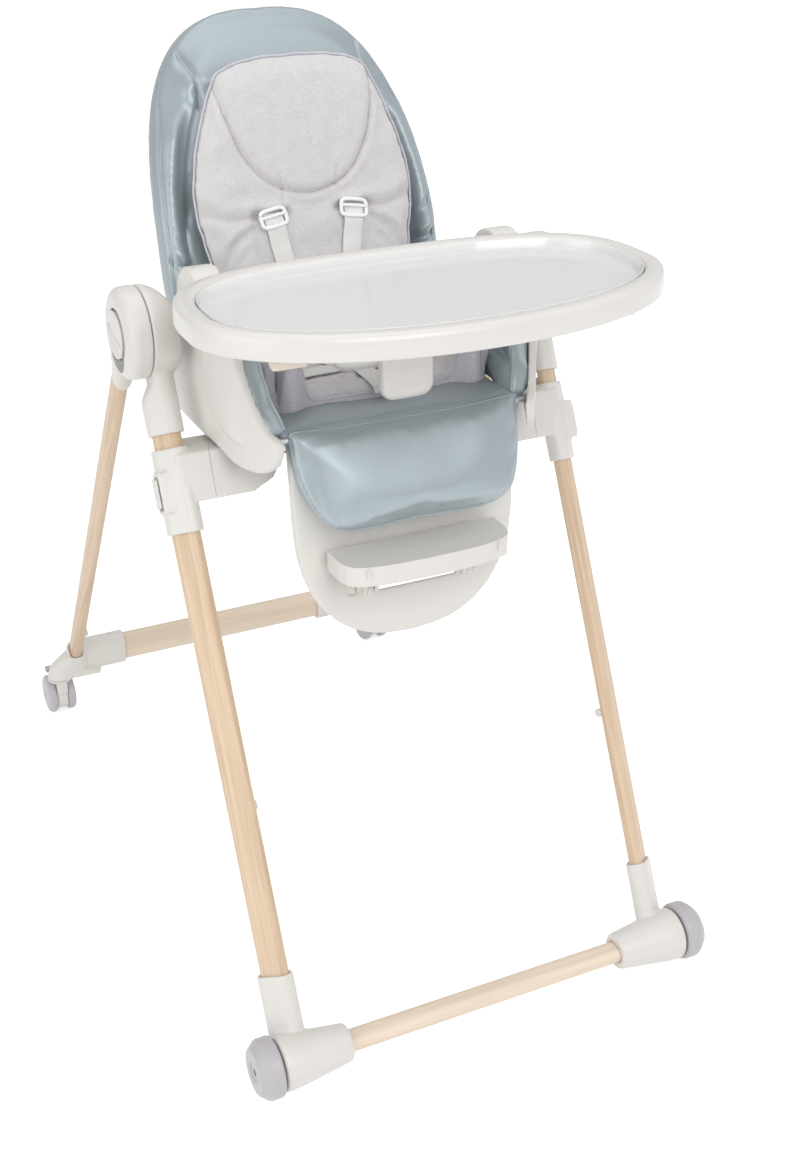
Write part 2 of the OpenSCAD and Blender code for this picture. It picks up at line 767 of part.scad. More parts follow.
// Knitted liner on the seat cushion, with a padded wing at each side.
module seat_liner() {
    color(JERSEY) at_hub() translate([0, 0, seat_top + 0.3]) union() {
        linear_extrude(seat_liner_t)
            round_span([-seat_liner_half, seat_liner_front], [seat_liner_half, seat_liner_rear], 40);
        for (side = [LEFT, RIGHT]) side_plate(side, wing_in, seat_liner_half)
            round_span([seat_liner_front + 26, 1], [seat_liner_rear - 5, wing_h], 18);
    }
}

module crotch_strap() {
    color(WEB) at_hub() translate([-12, -92, liner_top + 0.3]) cube([24, 44, 2]);
}

module lap_straps() {
    color(WEB) at_hub() for (side = [LEFT, RIGHT])
        translate([side > 0 ? 30 : -114, -40, liner_top + 0.3]) cube([84, 24, 2]);
}

// Buckle of the harness, flat on the liner, with a round release button.
module harness_buckle() {
    color(WHITE) at_hub() translate([0, -28, liner_top + 0.3]) union() {
        linear_extrude(9) round_span([-26, -19], [26, 19], 9);
        cylinder(r = 9, h = 10.5);
    }
}

// ---------------------------------------------------------------- backrest

// Frame at the backrest's rod, +Z up along the backrest and -Y out of its front.
module at_back() {
    at_hub() translate([0, back_y, back_z]) rotate([-back_lean, 0, 0]) children();
}

// Plate parallel to the backrest: children are drawn as [X, Z] and reach from one Y to another.
module back_plate(from, to) {
    translate([0, to, 0]) rotate([90, 0, 0]) linear_extrude(to - from) children();
}

// How far the backrest has swept back at a height along its plane.
function sweep_at(h) = back_sweep * pow(max(0, (h - sweep_from) / (back_top - sweep_from)), 1.45);

// Side view of a layer of the backrest that follows the sweep, between two heights.
module swept(front, rear, low, high) {
    n = 14;
    heights = [for (i = [0 : n]) low + (high - low) * i / n];
    polygon(concat(
        [for (h = heights) [front + sweep_at(h), h]],
        [for (i = [n : -1 : 0]) [rear + sweep_at(heights[i]), heights[i]]]
    ));
}

// Points of a crowned outline: straight lower sides that flare out, then an oval top.
function crowned(a, b, n, mid, low, low_half) = let (
    steps = 22,
    top = [for (i = [0 : steps]) let (w = 90 * i / steps, h = b * pow(sin(w), 2 / n))
        [a * pow(cos(w), 2 / n), mid + h]],
    side = [[low_half - 14, low], [low_half, low + 14], [low_half, mid - 62], [a - 3, mid - 26]],
    half = concat(side, top)
) concat(half, [for (i = [len(half) - 2 : -1 : 0]) [-half[i].x, half[i].y]]);

module back_outline(inset = 0) {
    polygon(crowned(back_half - inset, back_top - back_mid - inset, 2.7, back_mid, back_foot + inset,
        tub_half - tub_wall - 3 - inset));
}

module liner_outline(grow = 0) {
    polygon(crowned(liner_half + grow, liner_top_s - liner_mid + grow, 2.5, liner_mid, 6 - grow,
        liner_foot_half + grow));
}

// The two notches in the padding that the hinge lugs stand in.
module lug_notches() {
    for (side = [LEFT, RIGHT]) translate([side * lug_x - 9, 0, 0]) rotate([90, 0, 90])
        linear_extrude(18) union() {
            circle(r = 10);
            span([0, -12], [back_rear + 2, 28]);
        }
}

// Rear shell of the backrest, with lugs that grip the rod, a deep rim and a recess for the handle.
module back_shell() {
    outer = back_rear + back_shell_t;
    color(WHITE) at_back() difference() {
        union() {
            intersection() {
                cross_plate(back_half) swept(back_rear, outer, back_foot, back_top);
                back_plate(-60, 120) back_outline(6);
            }
            for (side = [LEFT, RIGHT]) translate([side * lug_x - 8, 0, 0]) rotate([90, 0, 90])
                linear_extrude(16) union() {
                    circle(r = 9);
                    span([0, -7], [back_rear + 2, 26]);
                }
        }
        translate([-160, 0, 0]) rotate([0, 90, 0]) cylinder(r = 4 + eps, h = 320);
        back_plate(back_rear + 3, outer + 1) round_span([-52, handle_s - 36], [52, handle_s + 6], 8);
        translate([-handle_pin_half - 1, handle_y, handle_s]) rotate([0, 90, 0])
            cylinder(r = handle_pin_r + pin_fit, h = 2 * handle_pin_half + 2);
    }
}

// Padded backrest: a rim that sweeps back at the top round a forward face, recessed for the liner.
module back_pad() {
    rear = back_rear - 0.3;
    color(BLUE) at_back() difference() {
        union() {
            intersection() {
                cross_plate(back_half + 1) swept(back_front, rear, back_foot, back_top);
                back_plate(-60, 120) back_outline();
            }
            intersection() {
                cross_plate(back_half) polygon(concat(
                    [[back_face, sweep_from], [back_face, head_top]],
                    [for (i = [8 : -1 : 0]) let (h = sweep_from + (head_top + 16 - sweep_from) * i / 8)
                        [max(back_face + 2, back_front + 12 + sweep_at(h)), h]]
                ));
                back_plate(-60, 120) back_outline(24);
            }
        }
        back_plate(-100, back_face) liner_outline(7);
        lug_notches();
        translate([-160, 0, 0]) rotate([0, 90, 0]) cylinder(r = 4.4, h = 320);
    }
}

module back_liner() {
    color(JERSEY) at_back() back_plate(liner_front, back_face - 0.3) liner_outline();
}

module back_hinge_rod() {
    color(STEEL) at_back() translate([-tub_half, 0, 0]) rotate([0, 90, 0]) cylinder(r = 4, h = 2 * tub_half);
}

// Frame at the slot that a shoulder strap comes out of, +Z along the strap.
module at_strap(side) {
    at_back() translate([side * strap_x, liner_front - 0.3, strap_top]) rotate([0, side * strap_slant, 0]) children();
}

module shoulder_strap(side) {
    color(WEB) at_strap(side) translate([-strap_w / 2, -2, -strap_len]) cube([strap_w, 2, strap_len]);
}

// Sliding adjusters on the shoulder straps: frames with a middle bar.
module strap_adjusters() {
    color(WHITE) for (side = [LEFT, RIGHT]) at_strap(side) translate([0, -2.3, -18]) difference() {
        back_plate(-3.5, 0) span([-16, -10], [16, 10]);
        for (z = [-7, 1.6]) back_plate(-5, 1) span([-12.5, z], [12.5, z + 5.4]);
    }
}

// Pull handle for the recline, on a pin across the recess at the back of the shell.
module recline_handle() {
    color(WHITE) at_back() translate([0, handle_y, handle_s]) union() {
        translate([-handle_pin_half, 0, 0]) rotate([0, 90, 0]) cylinder(r = handle_pin_r, h = 2 * handle_pin_half);
        back_plate(-1.4, 1.6) span([-46, -30], [46, 0]);
        back_plate(1, 10) span([-40, -30], [40, -23]);
    }
}

// ---------------------------------------------------------------- leg rest

// Frame at the leg rest's hinge: +Z up along the panel, -Y out of its front.
module at_legrest() {
    at_hub() translate([0, hinge_y, hinge_z]) rotate([-leg_rest_lean, 0, 0]) children();
}

// Outline of the leg rest panel: straight sides with a blunt oval below.
module panel_outline(inset = 0) {
    half = panel_half - inset;
    drop = panel_len - panel_straight - inset;
    n = 2 / 2.4;
    polygon(concat(
        [[half, -panel_drop - inset]],
        [for (i = [0 : 32]) let (w = 180 * i / 32, c = cos(w))
            [half * sign(c) * pow(abs(c), n), -panel_straight - drop * pow(sin(w), n)]],
        [[-half, -panel_drop - inset]]
    ));
}

// Panel with a rim behind it, a slot under the footstep, two eyes on the hinge rod and two hinge lugs.
module legrest_panel() {
    color(WHITE) at_legrest() difference() {
        union() {
            back_plate(panel_y, panel_y + panel_t) panel_outline();
            back_plate(panel_y, panel_y + panel_rim) difference() {
                panel_outline();
                panel_outline(panel_t);
            }
            for (side = [LEFT, RIGHT]) side_plate(side, 88, 104) union() {
                circle(r = 7);
                span([0, -22], [panel_y + 2, 0]);
            }
            for (side = [LEFT, RIGHT]) side_plate(side, step_arm_x - 4, step_arm_x + 4) union() {
                translate([step_pivot_y, step_pivot_z]) circle(r = 8);
                span([step_pivot_y, step_pivot_z - 8], [panel_y + 1, step_pivot_z + 8]);
            }
        }
        translate([-160, 0, 0]) rotate([0, 90, 0]) cylinder(r = 4 + eps, h = 320);
        back_plate(panel_y - 4, panel_y + 20) difference() {
            round_span([-slot_half, slot_low], [slot_half, slot_top], 7);
            for (side = [LEFT, RIGHT]) span([side * step_arm_x - 4, -300], [side * step_arm_x + 4, 0]);
        }
        for (side = [LEFT, RIGHT]) translate([0, step_pivot_y, step_pivot_z])
            side_disc(side, step_arm_x - 6, step_arm_x + 6, 3 + pin_fit);
        back_plate(panel_y - 20, panel_y + 30) span([-84, -24], [84, 10]);
    }
}

// Calf cushion: a fat roll round the hinge that thickens downwards, with round lower corners.
module calf_pad() {
    rear = panel_y - 0.3;
    color(BLUE) at_legrest() difference() {
        intersection() {
            cross_plate(seat_half - 4) difference() {
                hull() {
                    circle(r = roll_r, $fn = 32);
                    translate([rear - calf_t + 13, -44]) circle(r = 13, $fn = 32);
                    translate([rear - calf_t + 14, 14 - calf_len]) circle(r = 14, $fn = 32);
                    translate([rear - 4, 10 - calf_len]) circle(r = 4, $fn = 32);
                    translate([rear - 4, -30]) circle(r = 4, $fn = 32);
                }
                span([rear, -calf_len - 10], [20, 0.3 - panel_drop]);
            }
            back_plate(-60, 60) union() {
                round_span([4 - seat_half, -calf_len], [seat_half - 4, 10], 44);
                span([4 - seat_half, -60], [seat_half - 4, 20]);
            }
        }
        translate([-160, 0, 0]) rotate([0, 90, 0]) cylinder(r = 4.4, h = 320);
        for (side = [LEFT, RIGHT]) side_plate(side, 87, 105) union() {
            circle(r = 8);
            span([0, -24], [panel_y + 2, 0]);
        }
    }
}

module legrest_hinge_rod() {
    color(STEEL) at_legrest() translate([0.5 - tip_bore, 0, 0]) rotate([0, 90, 0])
        cylinder(r = 4, h = 2 * tip_bore - 1);
}

// Outline of the footstep seen from above, back edge at Y = 0.
module step_outline(inset = 0) {
    half = step_half - inset;
    deep = step_depth - inset;
    polygon(concat(
        [[half, -inset]],
        curve([half, -20], [half, -deep * 0.75], [half * 0.92, -deep * 0.86], [half * 0.6, -deep * 0.94], 8),
        curve([half * 0.6, -deep * 0.94], [half * 0.3, -deep], [-half * 0.3, -deep], [-half * 0.6, -deep * 0.94], 8),
        curve([-half * 0.6, -deep * 0.94], [-half * 0.92, -deep * 0.86], [-half, -deep * 0.75], [-half, -20], 8),
        [[-half, -20], [-half, -inset]]
    ));
}

// Hollow footstep with a skirt, ribs below and two forked arms that turn on the panel's lugs.
module footstep() {
    arm = 5;
    color(WHITE) at_legrest() translate([0, step_pivot_y, step_pivot_z]) rotate([leg_rest_lean, 0, 0]) union() {
        difference() {
            translate([0, step_back, step_top - step_skirt]) linear_extrude(step_skirt) step_outline();
            translate([0, step_back, step_top - step_skirt - 1]) linear_extrude(step_skirt - 2) step_outline(3);
        }
        for (x = [-80, -27, 27, 80]) translate([x - 1.5, step_back - step_depth + 5, step_top - 12])
            cube([3, step_depth - 9, 10]);
        for (side = [LEFT, RIGHT]) {
            for (x = [step_arm_x - 4.3 - arm, step_arm_x + 4.3]) side_plate(side, x, x + arm) union() {
                circle(r = 7);
                polygon([[-7, 0], [7, 0], [10, step_top - 2], [-22, step_top - 2]]);
            }
            side_disc(side, step_arm_x - 5 - arm, step_arm_x + 5 + arm, 3);
        }
    }
}

// ---------------------------------------------------------------- tray

// Frame at the widest line of the tray, at the height of its rim.
module at_tray() {
    at_hub() translate([0, tray_y, tray_z]) children();
}

// D-shaped outline: an oval front and a squarer back.
module tray_outline(inset = 0) {
    a = tray_half - inset;
    f = tray_front - inset;
    b = tray_back - inset;
    polygon([for (i = [0 : 95]) let (
        w = 360 * i / 96, c = cos(w), s = sin(w), n = s < 0 ? 2 / 2.05 : 2 / 3.2
    ) [a * sign(c) * pow(abs(c), n), (s < 0 ? f : b) * sign(s) * pow(abs(s), n)]]);
}

// Tray: a hollow rim round a basin, a crotch post below it and channels that ride on the armrests.
module tray() {
    floor_low = -tray_basin - tray_wall;
    ride = arm_top + 0.4 - tray_z;
    color(WHITE) at_tray() union() {
        difference() {
            translate([0, 0, -tray_rim_h]) linear_extrude(tray_rim_h) tray_outline();
            translate([0, 0, -tray_basin]) linear_extrude(tray_basin + 1) tray_outline(tray_rim_w);
            translate([0, 0, -tray_rim_h - 1]) linear_extrude(tray_rim_h + 1 + floor_low) tray_outline(tray_wall);
            translate([0, 0, -tray_rim_h - 1]) linear_extrude(tray_rim_h - tray_wall) difference() {
                tray_outline(tray_wall);
                tray_outline(tray_rim_w - tray_wall);
            }
        }
        for (side = [LEFT, RIGHT]) for (x = [rail_x - 10.5, rail_x + 6.5])
            translate([side > 0 ? x : -x - 4, channel_front, ride])
                cube([4, channel_back - channel_front, floor_low + eps - ride]);
        translate([0, post_y - tray_y + 11, 0]) rotate([90, 0, 0]) linear_extrude(22) difference() {
            round_span([-31, post_low - tray_z], [31, 30], 17);
            span([-40, floor_low + eps], [40, 60]);
        }
    }
}

// Clear lift-off insert that lines the basin.
module tray_insert() {
    color(CLEAR) at_tray() difference() {
        translate([0, 0, 0.3 - tray_basin]) linear_extrude(tray_basin - 1.5) tray_outline(tray_rim_w + 0.5);
        translate([0, 0, 2.3 - tray_basin]) linear_extrude(tray_basin) tray_outline(tray_rim_w + 2.5);
    }
}

// Ribbed squeeze latch under the tray: a bar below the floor with a hook-shaped grip.
module tray_latch(side) {
    top = -tray_basin - tray_wall - 0.3;
    depth = 46;
    color(CREAM) at_tray() difference() {
        side_plate(side, latch_in, latch_out) polygon([
            [latch_front, top], [latch_front + depth, top], [latch_front + depth, top - 8],
            [latch_front + 30, -tray_rim_h - 4], [latch_front + 16, -tray_rim_h - 18],
            [latch_front + 6, -tray_rim_h - 16], [latch_front, -tray_rim_h - 4]
        ]);
        for (i = [0 : 3]) translate([side * (latch_out + 1), latch_front + 6 + 9 * i, top - 40])
            cylinder(r = 2.6, h = 50);
        for (i = [0 : 3]) translate([side * (latch_in + 4 + 9 * i), latch_front - 1, top - 40])
            cylinder(r = 2.6, h = 50);
    }
}

// ---------------------------------------------------------------- drawing
front_leg(LEFT);  // front_leg_left
front_leg(RIGHT);  // front_leg_right
front_foot(LEFT);  // front_foot_left
front_foot(RIGHT);  // front_foot_right
front_crossbar();
front_hub(LEFT);  // front_hub_left
front_hub(RIGHT);  // front_hub_right
hub_pivot_pins();
front_axles();
leg_stops();
front_wheel(LEFT);  // front_wheel_left
front_wheel(RIGHT);  // front_wheel_right
rear_leg(LEFT);  // rear_leg_left
rear_leg(RIGHT);  // rear_leg_right
rear_hub(LEFT);  // rear_hub_left
rear_hub(RIGHT);  // rear_hub_right
rear_foot(LEFT);  // rear_foot_left
rear_foot(RIGHT);  // rear_foot_right
rear_crossbar();
leg_bumpers();
caster_fork(LEFT);  // caster_fork_left
caster_fork(RIGHT);  // caster_fork_right
caster_axle(LEFT);  // caster_axle_left
caster_axle(RIGHT);  // caster_axle_right
caster_wheels(LEFT);  // caster_wheels_left
caster_wheels(RIGHT);  // caster_wheels_right
brake_pedal(LEFT);  // brake_pedal_left
brake_pedal(RIGHT);  // brake_pedal_right
hub_button(LEFT);  // hub_button_left
hub_button(RIGHT);  // hub_button_right
slider(LEFT);  // slider_left
slider(RIGHT);  // slider_right
seat_base();
side_shell(LEFT);  // side_shell_left
side_shell(RIGHT);  // side_shell_right
seat_pad();
side_bolster(LEFT);  // side_bolster_left
side_bolster(RIGHT);  // side_bolster_right
seat_liner();
crotch_strap();
lap_straps();
harness_buckle();
slider_button(LEFT);  // slider_button_left
slider_button(RIGHT);  // slider_button_right
back_shell();
back_pad();
back_liner();
back_hinge_rod();
shoulder_strap(LEFT);  // shoulder_strap_left
shoulder_strap(RIGHT);  // shoulder_strap_right
strap_adjusters();
recline_handle();
legrest_panel();
calf_pad();
legrest_hinge_rod();
footstep();
tray();
tray_insert();
tray_latch(LEFT);  // tray_latch_left
tray_latch(RIGHT);  // tray_latch_right
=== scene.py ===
"""Finishes and soft goods for a folding baby high chair.

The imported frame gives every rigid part. The classes below build the padded backrest, the knitted
liners, the harness, the cushions, the tray and the moulded castings round it, and dress them all.
Lengths inside a class are millimetres in that sub-assembly's own frame, until a Frame places them.
"""

import json
import logging
import math
from dataclasses import dataclass, field
from enum import Enum
from fnmatch import fnmatchcase as fnmatch
from typing import Callable, Iterable, Sequence

import bmesh
import bpy
import numpy as np
from mathutils import Matrix, Vector
from mathutils.bvhtree import BVHTree

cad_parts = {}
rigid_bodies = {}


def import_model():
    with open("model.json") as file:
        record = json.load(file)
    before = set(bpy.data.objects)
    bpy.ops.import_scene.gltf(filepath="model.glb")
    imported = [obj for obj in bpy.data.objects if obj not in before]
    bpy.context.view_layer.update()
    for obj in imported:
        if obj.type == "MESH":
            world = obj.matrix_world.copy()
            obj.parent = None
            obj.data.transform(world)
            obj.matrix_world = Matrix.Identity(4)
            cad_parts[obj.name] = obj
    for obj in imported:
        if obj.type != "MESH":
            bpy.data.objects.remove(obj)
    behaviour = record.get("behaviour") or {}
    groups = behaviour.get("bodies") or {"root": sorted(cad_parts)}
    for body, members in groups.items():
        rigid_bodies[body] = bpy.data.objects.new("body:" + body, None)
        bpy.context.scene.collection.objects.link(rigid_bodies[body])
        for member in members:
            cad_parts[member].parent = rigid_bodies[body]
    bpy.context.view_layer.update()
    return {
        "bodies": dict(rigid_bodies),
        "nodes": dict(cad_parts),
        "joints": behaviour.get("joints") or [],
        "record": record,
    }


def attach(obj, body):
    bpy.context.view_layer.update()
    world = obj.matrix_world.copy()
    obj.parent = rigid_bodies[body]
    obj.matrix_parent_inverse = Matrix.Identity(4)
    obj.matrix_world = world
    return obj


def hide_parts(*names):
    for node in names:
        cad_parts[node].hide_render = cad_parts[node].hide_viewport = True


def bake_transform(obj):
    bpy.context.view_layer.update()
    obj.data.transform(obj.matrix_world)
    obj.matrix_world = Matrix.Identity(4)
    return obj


log = logging.getLogger("high_chair")
Array = np.ndarray
MM = 0.001


class Side(Enum):
    """The two sides of the chair, as the sign of X."""

    LEFT = -1
    RIGHT = 1

    @property
    def word(self) -> str:
        """The side's name in piece names."""
        return self.name.lower()


# ------------------------------------------------------------------ shader maths


class Expr:
    """A number that a shader works out. Python's operators on it add Math nodes."""

    def __init__(self, graph: "Graph", socket: bpy.types.NodeSocket) -> None:
        """Wraps an output socket of a graph."""
        self.graph = graph
        self.socket = socket

    def _math(self, operation: str, a: object, b: object = 0.0) -> "Expr":
        """One Math node on two values or links."""
        node = self.graph.add("ShaderNodeMath", {"operation": operation}, {0: a, 1: b})
        return Expr(self.graph, node.outputs[0])

    def __add__(self, other: object) -> "Expr":
        """Sum."""
        return self._math("ADD", self, other)

    __radd__ = __add__

    def __sub__(self, other: object) -> "Expr":
        """Difference."""
        return self._math("SUBTRACT", self, other)

    def __rsub__(self, other: object) -> "Expr":
        """Difference, the other way round."""
        return self._math("SUBTRACT", other, self)

    def __mul__(self, other: object) -> "Expr":
        """Product."""
        return self._math("MULTIPLY", self, other)

    __rmul__ = __mul__

    def __pow__(self, other: object) -> "Expr":
        """Power."""
        return self._math("POWER", self, other)

    def clamp(self) -> "Expr":
        """The number kept between 0 and 1."""
        node = self.graph.add("ShaderNodeClamp", {}, {"Value": self})
        return Expr(self.graph, node.outputs[0])

    def sine(self) -> "Expr":
        """Sine of the number in radians."""
        return self._math("SINE", self)

    def between(self, low: float, high: float) -> "Expr":
        """Smooth step from 0 at low to 1 at high."""
        node = self.graph.add("ShaderNodeMapRange", {"interpolation_type": "SMOOTHSTEP"},
                              {"Value": self, "From Min": low, "From Max": high})
        return Expr(self.graph, node.outputs[0])


class Graph:
    """The node graph of one material, with its Principled shader and output."""

    def __init__(self, name: str) -> None:
        """Makes an empty material with one Principled shader."""
        self.material = bpy.data.materials.new(name)
        self.material.use_nodes = True
        self.tree = self.material.node_tree
        self.tree.nodes.clear()
        self.shader = self.tree.nodes.new("ShaderNodeBsdfPrincipled")
        self.output = self.tree.nodes.new("ShaderNodeOutputMaterial")
        self.tree.links.new(self.shader.outputs[0], self.output.inputs[0])

    def add(self, kind: str, settings: dict, inputs: dict) -> bpy.types.Node:
        """Adds a node.

        Args:
            kind: the node's type.
            settings: attributes, set before the inputs; "stops" are a colour ramp's.
            inputs: socket name or number to a value, an Expr or a socket.

        Returns:
            The node.
        """
        node = self.tree.nodes.new(kind)
        for key, value in settings.items():
            if key == "stops":
                ramp = node.color_ramp
                while len(ramp.elements) < len(value):
                    ramp.elements.new(0.5)
                for element, (place, colour) in zip(ramp.elements, value):
                    element.position = place
                    element.color = (*colour, 1.0)
            else:
                setattr(node, key, value)
        for key, value in inputs.items():
            self.feed(node.inputs[key], value)
        return node

    def feed(self, socket: bpy.types.NodeSocket, value: object) -> None:
        """Links a socket or an Expr to an input, or sets the input's own value."""
        if isinstance(value, Expr):
            value = value.socket
        if isinstance(value, bpy.types.NodeSocket):
            self.tree.links.new(value, socket)
        else:
            socket.default_value = value

    def place(self, scale: Sequence[float] = (1, 1, 1), turn: Sequence[float] = (0, 0, 0)) -> bpy.types.NodeSocket:
        """Object coordinates, turned in degrees and then scaled."""
        source = self.add("ShaderNodeTexCoord", {}, {}).outputs["Object"]
        turned = self.add("ShaderNodeMapping", {}, {"Vector": source, "Rotation": [math.radians(a) for a in turn]})
        return self.add("ShaderNodeMapping", {}, {"Vector": turned.outputs[0], "Scale": scale}).outputs[0]

    def noise(self, where: bpy.types.NodeSocket, scale: float, detail: float = 2.0, distortion: float = 0.0) -> Expr:
        """Fractal noise at a place, from 0 to 1."""
        node = self.add("ShaderNodeTexNoise", {}, {"Vector": where, "Scale": scale, "Detail": detail,
                                                   "Distortion": distortion})
        return Expr(self, node.outputs[0])

    def ramp(self, value: Expr, stops: Sequence[tuple]) -> bpy.types.NodeSocket:
        """A colour ramp on a number."""
        return self.add("ShaderNodeValToRGB", {"stops": stops}, {0: value}).outputs[0]

    def mix(self, factor: object, a: object, b: object, blend: str = "MIX") -> bpy.types.NodeSocket:
        """Mixes two colours, given as sockets or as linear triples."""
        node = self.add("ShaderNodeMix", {"data_type": "RGBA", "blend_type": blend}, {0: factor})
        for socket, value in ((node.inputs[6], a), (node.inputs[7], b)):
            self.feed(socket, (*value, 1.0) if isinstance(value, tuple) else value)
        return node.outputs[2]

    def bump(self, height: Expr, distance: float, strength: float = 1.0) -> None:
        """Feeds the shader's normal from a height, in metres."""
        node = self.add("ShaderNodeBump", {}, {"Height": height, "Distance": distance, "Strength": strength})
        self.feed(self.shader.inputs["Normal"], node.outputs[0])

    def set(self, **values: object) -> "Graph":
        """Sets the shader's sockets by name, with _ for a space."""
        for key, value in values.items():
            if isinstance(value, tuple) and len(value) == 3 and "Color" in key:
                value = (*value, 1.0)
            self.feed(self.shader.inputs[key.replace("_", " ")], value)
        return self


def rgb(red: int, green: int, blue: int) -> tuple[float, float, float]:
    """A display colour from 0 to 255 as a linear colour."""
    return tuple(float(((c / 255 + 0.055) / 1.055) ** 2.4 if c > 10 else c / 255 / 12.92) for c in (red, green, blue))


# ------------------------------------------------------------------ finishes


@dataclass(frozen=True)
class Moulded:
    """Injection moulded plastic with a fine spark-eroded skin.

    colour: display colour; gloss: roughness; skin: depth of the texture in metres.
    """

    name: str
    colour: tuple[int, int, int]
    gloss: float = 0.36
    skin: float = 0.00004
    coat: float = 0.15

    def build(self) -> bpy.types.Material:
        """The material: a faint cloudiness, a fine grain and patchy gloss."""
        g = Graph(self.name)
        here = g.place()
        cloud = g.noise(here, 9.0, 3.0)
        grain = g.noise(here, 1400.0, 2.0)
        base = rgb(*self.colour)
        deep = tuple(c * 0.955 for c in base)
        g.set(Base_Color=g.mix(cloud, deep, base), Roughness=self.gloss + cloud * 0.07,
              Specular_IOR_Level=0.5, Coat_Weight=self.coat, Coat_Roughness=0.25)
        g.bump(grain, self.skin, 0.5)
        return g.material


@dataclass(frozen=True)
class ClearSheet:
    """Polished clear plastic, milky white where it lies on a white floor."""

    name: str = "clear_plastic"
    colour: tuple[int, int, int] = (251, 251, 251)

    def build(self) -> bpy.types.Material:
        """The material: partly see-through with a hard gloss and the faintest wear."""
        g = Graph(self.name)
        wear = g.noise(g.place(), 14.0, 2.0)
        g.set(Base_Color=rgb(*self.colour), Roughness=0.07 + wear * 0.03, Alpha=0.62,
              Specular_IOR_Level=0.8, Coat_Weight=0.6, Coat_Roughness=0.03)
        return g.material


@dataclass(frozen=True)
class Beech:
    """Satin varnished beech whose grain runs along one bar."""

    name: str
    turn: tuple[float, float, float]
    pale: float = 0.0

    def build(self) -> bpy.types.Material:
        """The material: long growth lines, broad tone bands and short dark flecks."""
        g = Graph(self.name)
        along = g.place(scale=(1, 1, 0.035), turn=self.turn)
        wavy = g.noise(g.place(scale=(1, 1, 0.12), turn=self.turn), 14.0, 3.0, 0.4)
        lines = g.noise(along, 210.0, 3.0, 0.25)
        broad = g.noise(along, 34.0, 2.0)
        fleck = g.noise(g.place(scale=(1, 1, 0.13), turn=self.turn), 900.0, 2.0).between(0.66, 0.76)
        tone = (lines * 0.45 + broad * 0.4 + wavy * 0.15).between(0.34, 0.66)
        colour = g.ramp(tone, ((0.0, rgb(196, 168, 139)), (0.45, rgb(211, 186, 158)), (1.0, rgb(222, 199, 173))))
        colour = g.mix(fleck * 0.25, colour, rgb(184, 148, 116))
        colour = g.mix(self.pale, colour, rgb(250, 240, 228))
        g.set(Base_Color=colour, Roughness=0.42 + lines * 0.1, Specular_IOR_Level=0.45,
              Coat_Weight=0.2, Coat_Roughness=0.3)
        g.bump(lines + fleck * -0.6, 0.00012, 0.35)
        return g.material


@dataclass(frozen=True)
class CoatedCloth:
    """Satin coated fabric: pearl grey-blue with a fine pebble grain."""

    name: str = "coated_cloth"
    colour: tuple[int, int, int] = (167, 178, 183)

    def build(self) -> bpy.types.Material:
        """The material: pebble grain, slow tone drift and a pearl gloss."""
        g = Graph(self.name)
        here = g.place()
        cell = g.add("ShaderNodeTexVoronoi", {"feature": "SMOOTH_F1"}, {"Vector": here, "Scale": 1150.0,
                                                                         "Smoothness": 0.6})
        grain = Expr(g, cell.outputs["Distance"])
        drift = g.noise(here, 11.0, 3.0)
        crease = g.noise(here, 55.0, 4.0, 0.6)
        base = rgb(*self.colour)
        low = tuple(c * 0.9 for c in base)
        g.set(Base_Color=g.mix(drift, low, base), Metallic=0.4, Roughness=0.34 + drift * 0.08 + grain * 0.04,
              Specular_IOR_Level=0.5, Sheen_Weight=0.12, Sheen_Roughness=0.4, Sheen_Tint=(0.85, 0.92, 1.0, 1.0))
        g.bump(grain * 0.25 + crease * 1.3, 0.00045, 0.4)
        return g.material


@dataclass(frozen=True)
class Knit:
    """Fine single jersey in a pale melange."""

    name: str = "jersey"
    colour: tuple[int, int, int] = (213, 210, 211)
    shade: tuple[int, int, int] = (202, 199, 200)
    turn: tuple[float, float, float] = (0, 0, 0)

    def build(self) -> bpy.types.Material:
        """The material: loops in columns, lit and shaded yarns, and a soft nap."""
        g = Graph(self.name)
        flat = g.place(turn=self.turn)
        split = g.add("ShaderNodeSeparateXYZ", {}, {0: flat})
        across, _, up = (Expr(g, split.outputs[i]) for i in range(3))
        wander = g.noise(flat, 120.0, 2.0)
        wale = (across * 5200.0 + wander * 2.2).sine() * 0.5 + 0.5
        course = (up * 7400.0 + wander * 2.6).sine() * 0.5 + 0.5
        loops = wale * 0.55 + course * 0.45
        yarn = g.noise(g.place(scale=(0.28, 1, 1), turn=self.turn), 1050.0, 2.0).between(0.38, 0.62)
        slub = g.noise(g.place(scale=(0.3, 1, 1), turn=self.turn), 260.0, 3.0)
        tone = (yarn * 0.55 + slub * 0.3 + loops * 0.15).between(0.12, 0.85)
        g.set(Base_Color=g.mix(tone, rgb(*self.shade), rgb(*self.colour)), Roughness=0.94,
              Specular_IOR_Level=0.15, Sheen_Weight=0.35, Sheen_Roughness=0.55)
        g.bump(loops * 0.7 + yarn * 0.3, 0.00035, 0.55)
        return g.material


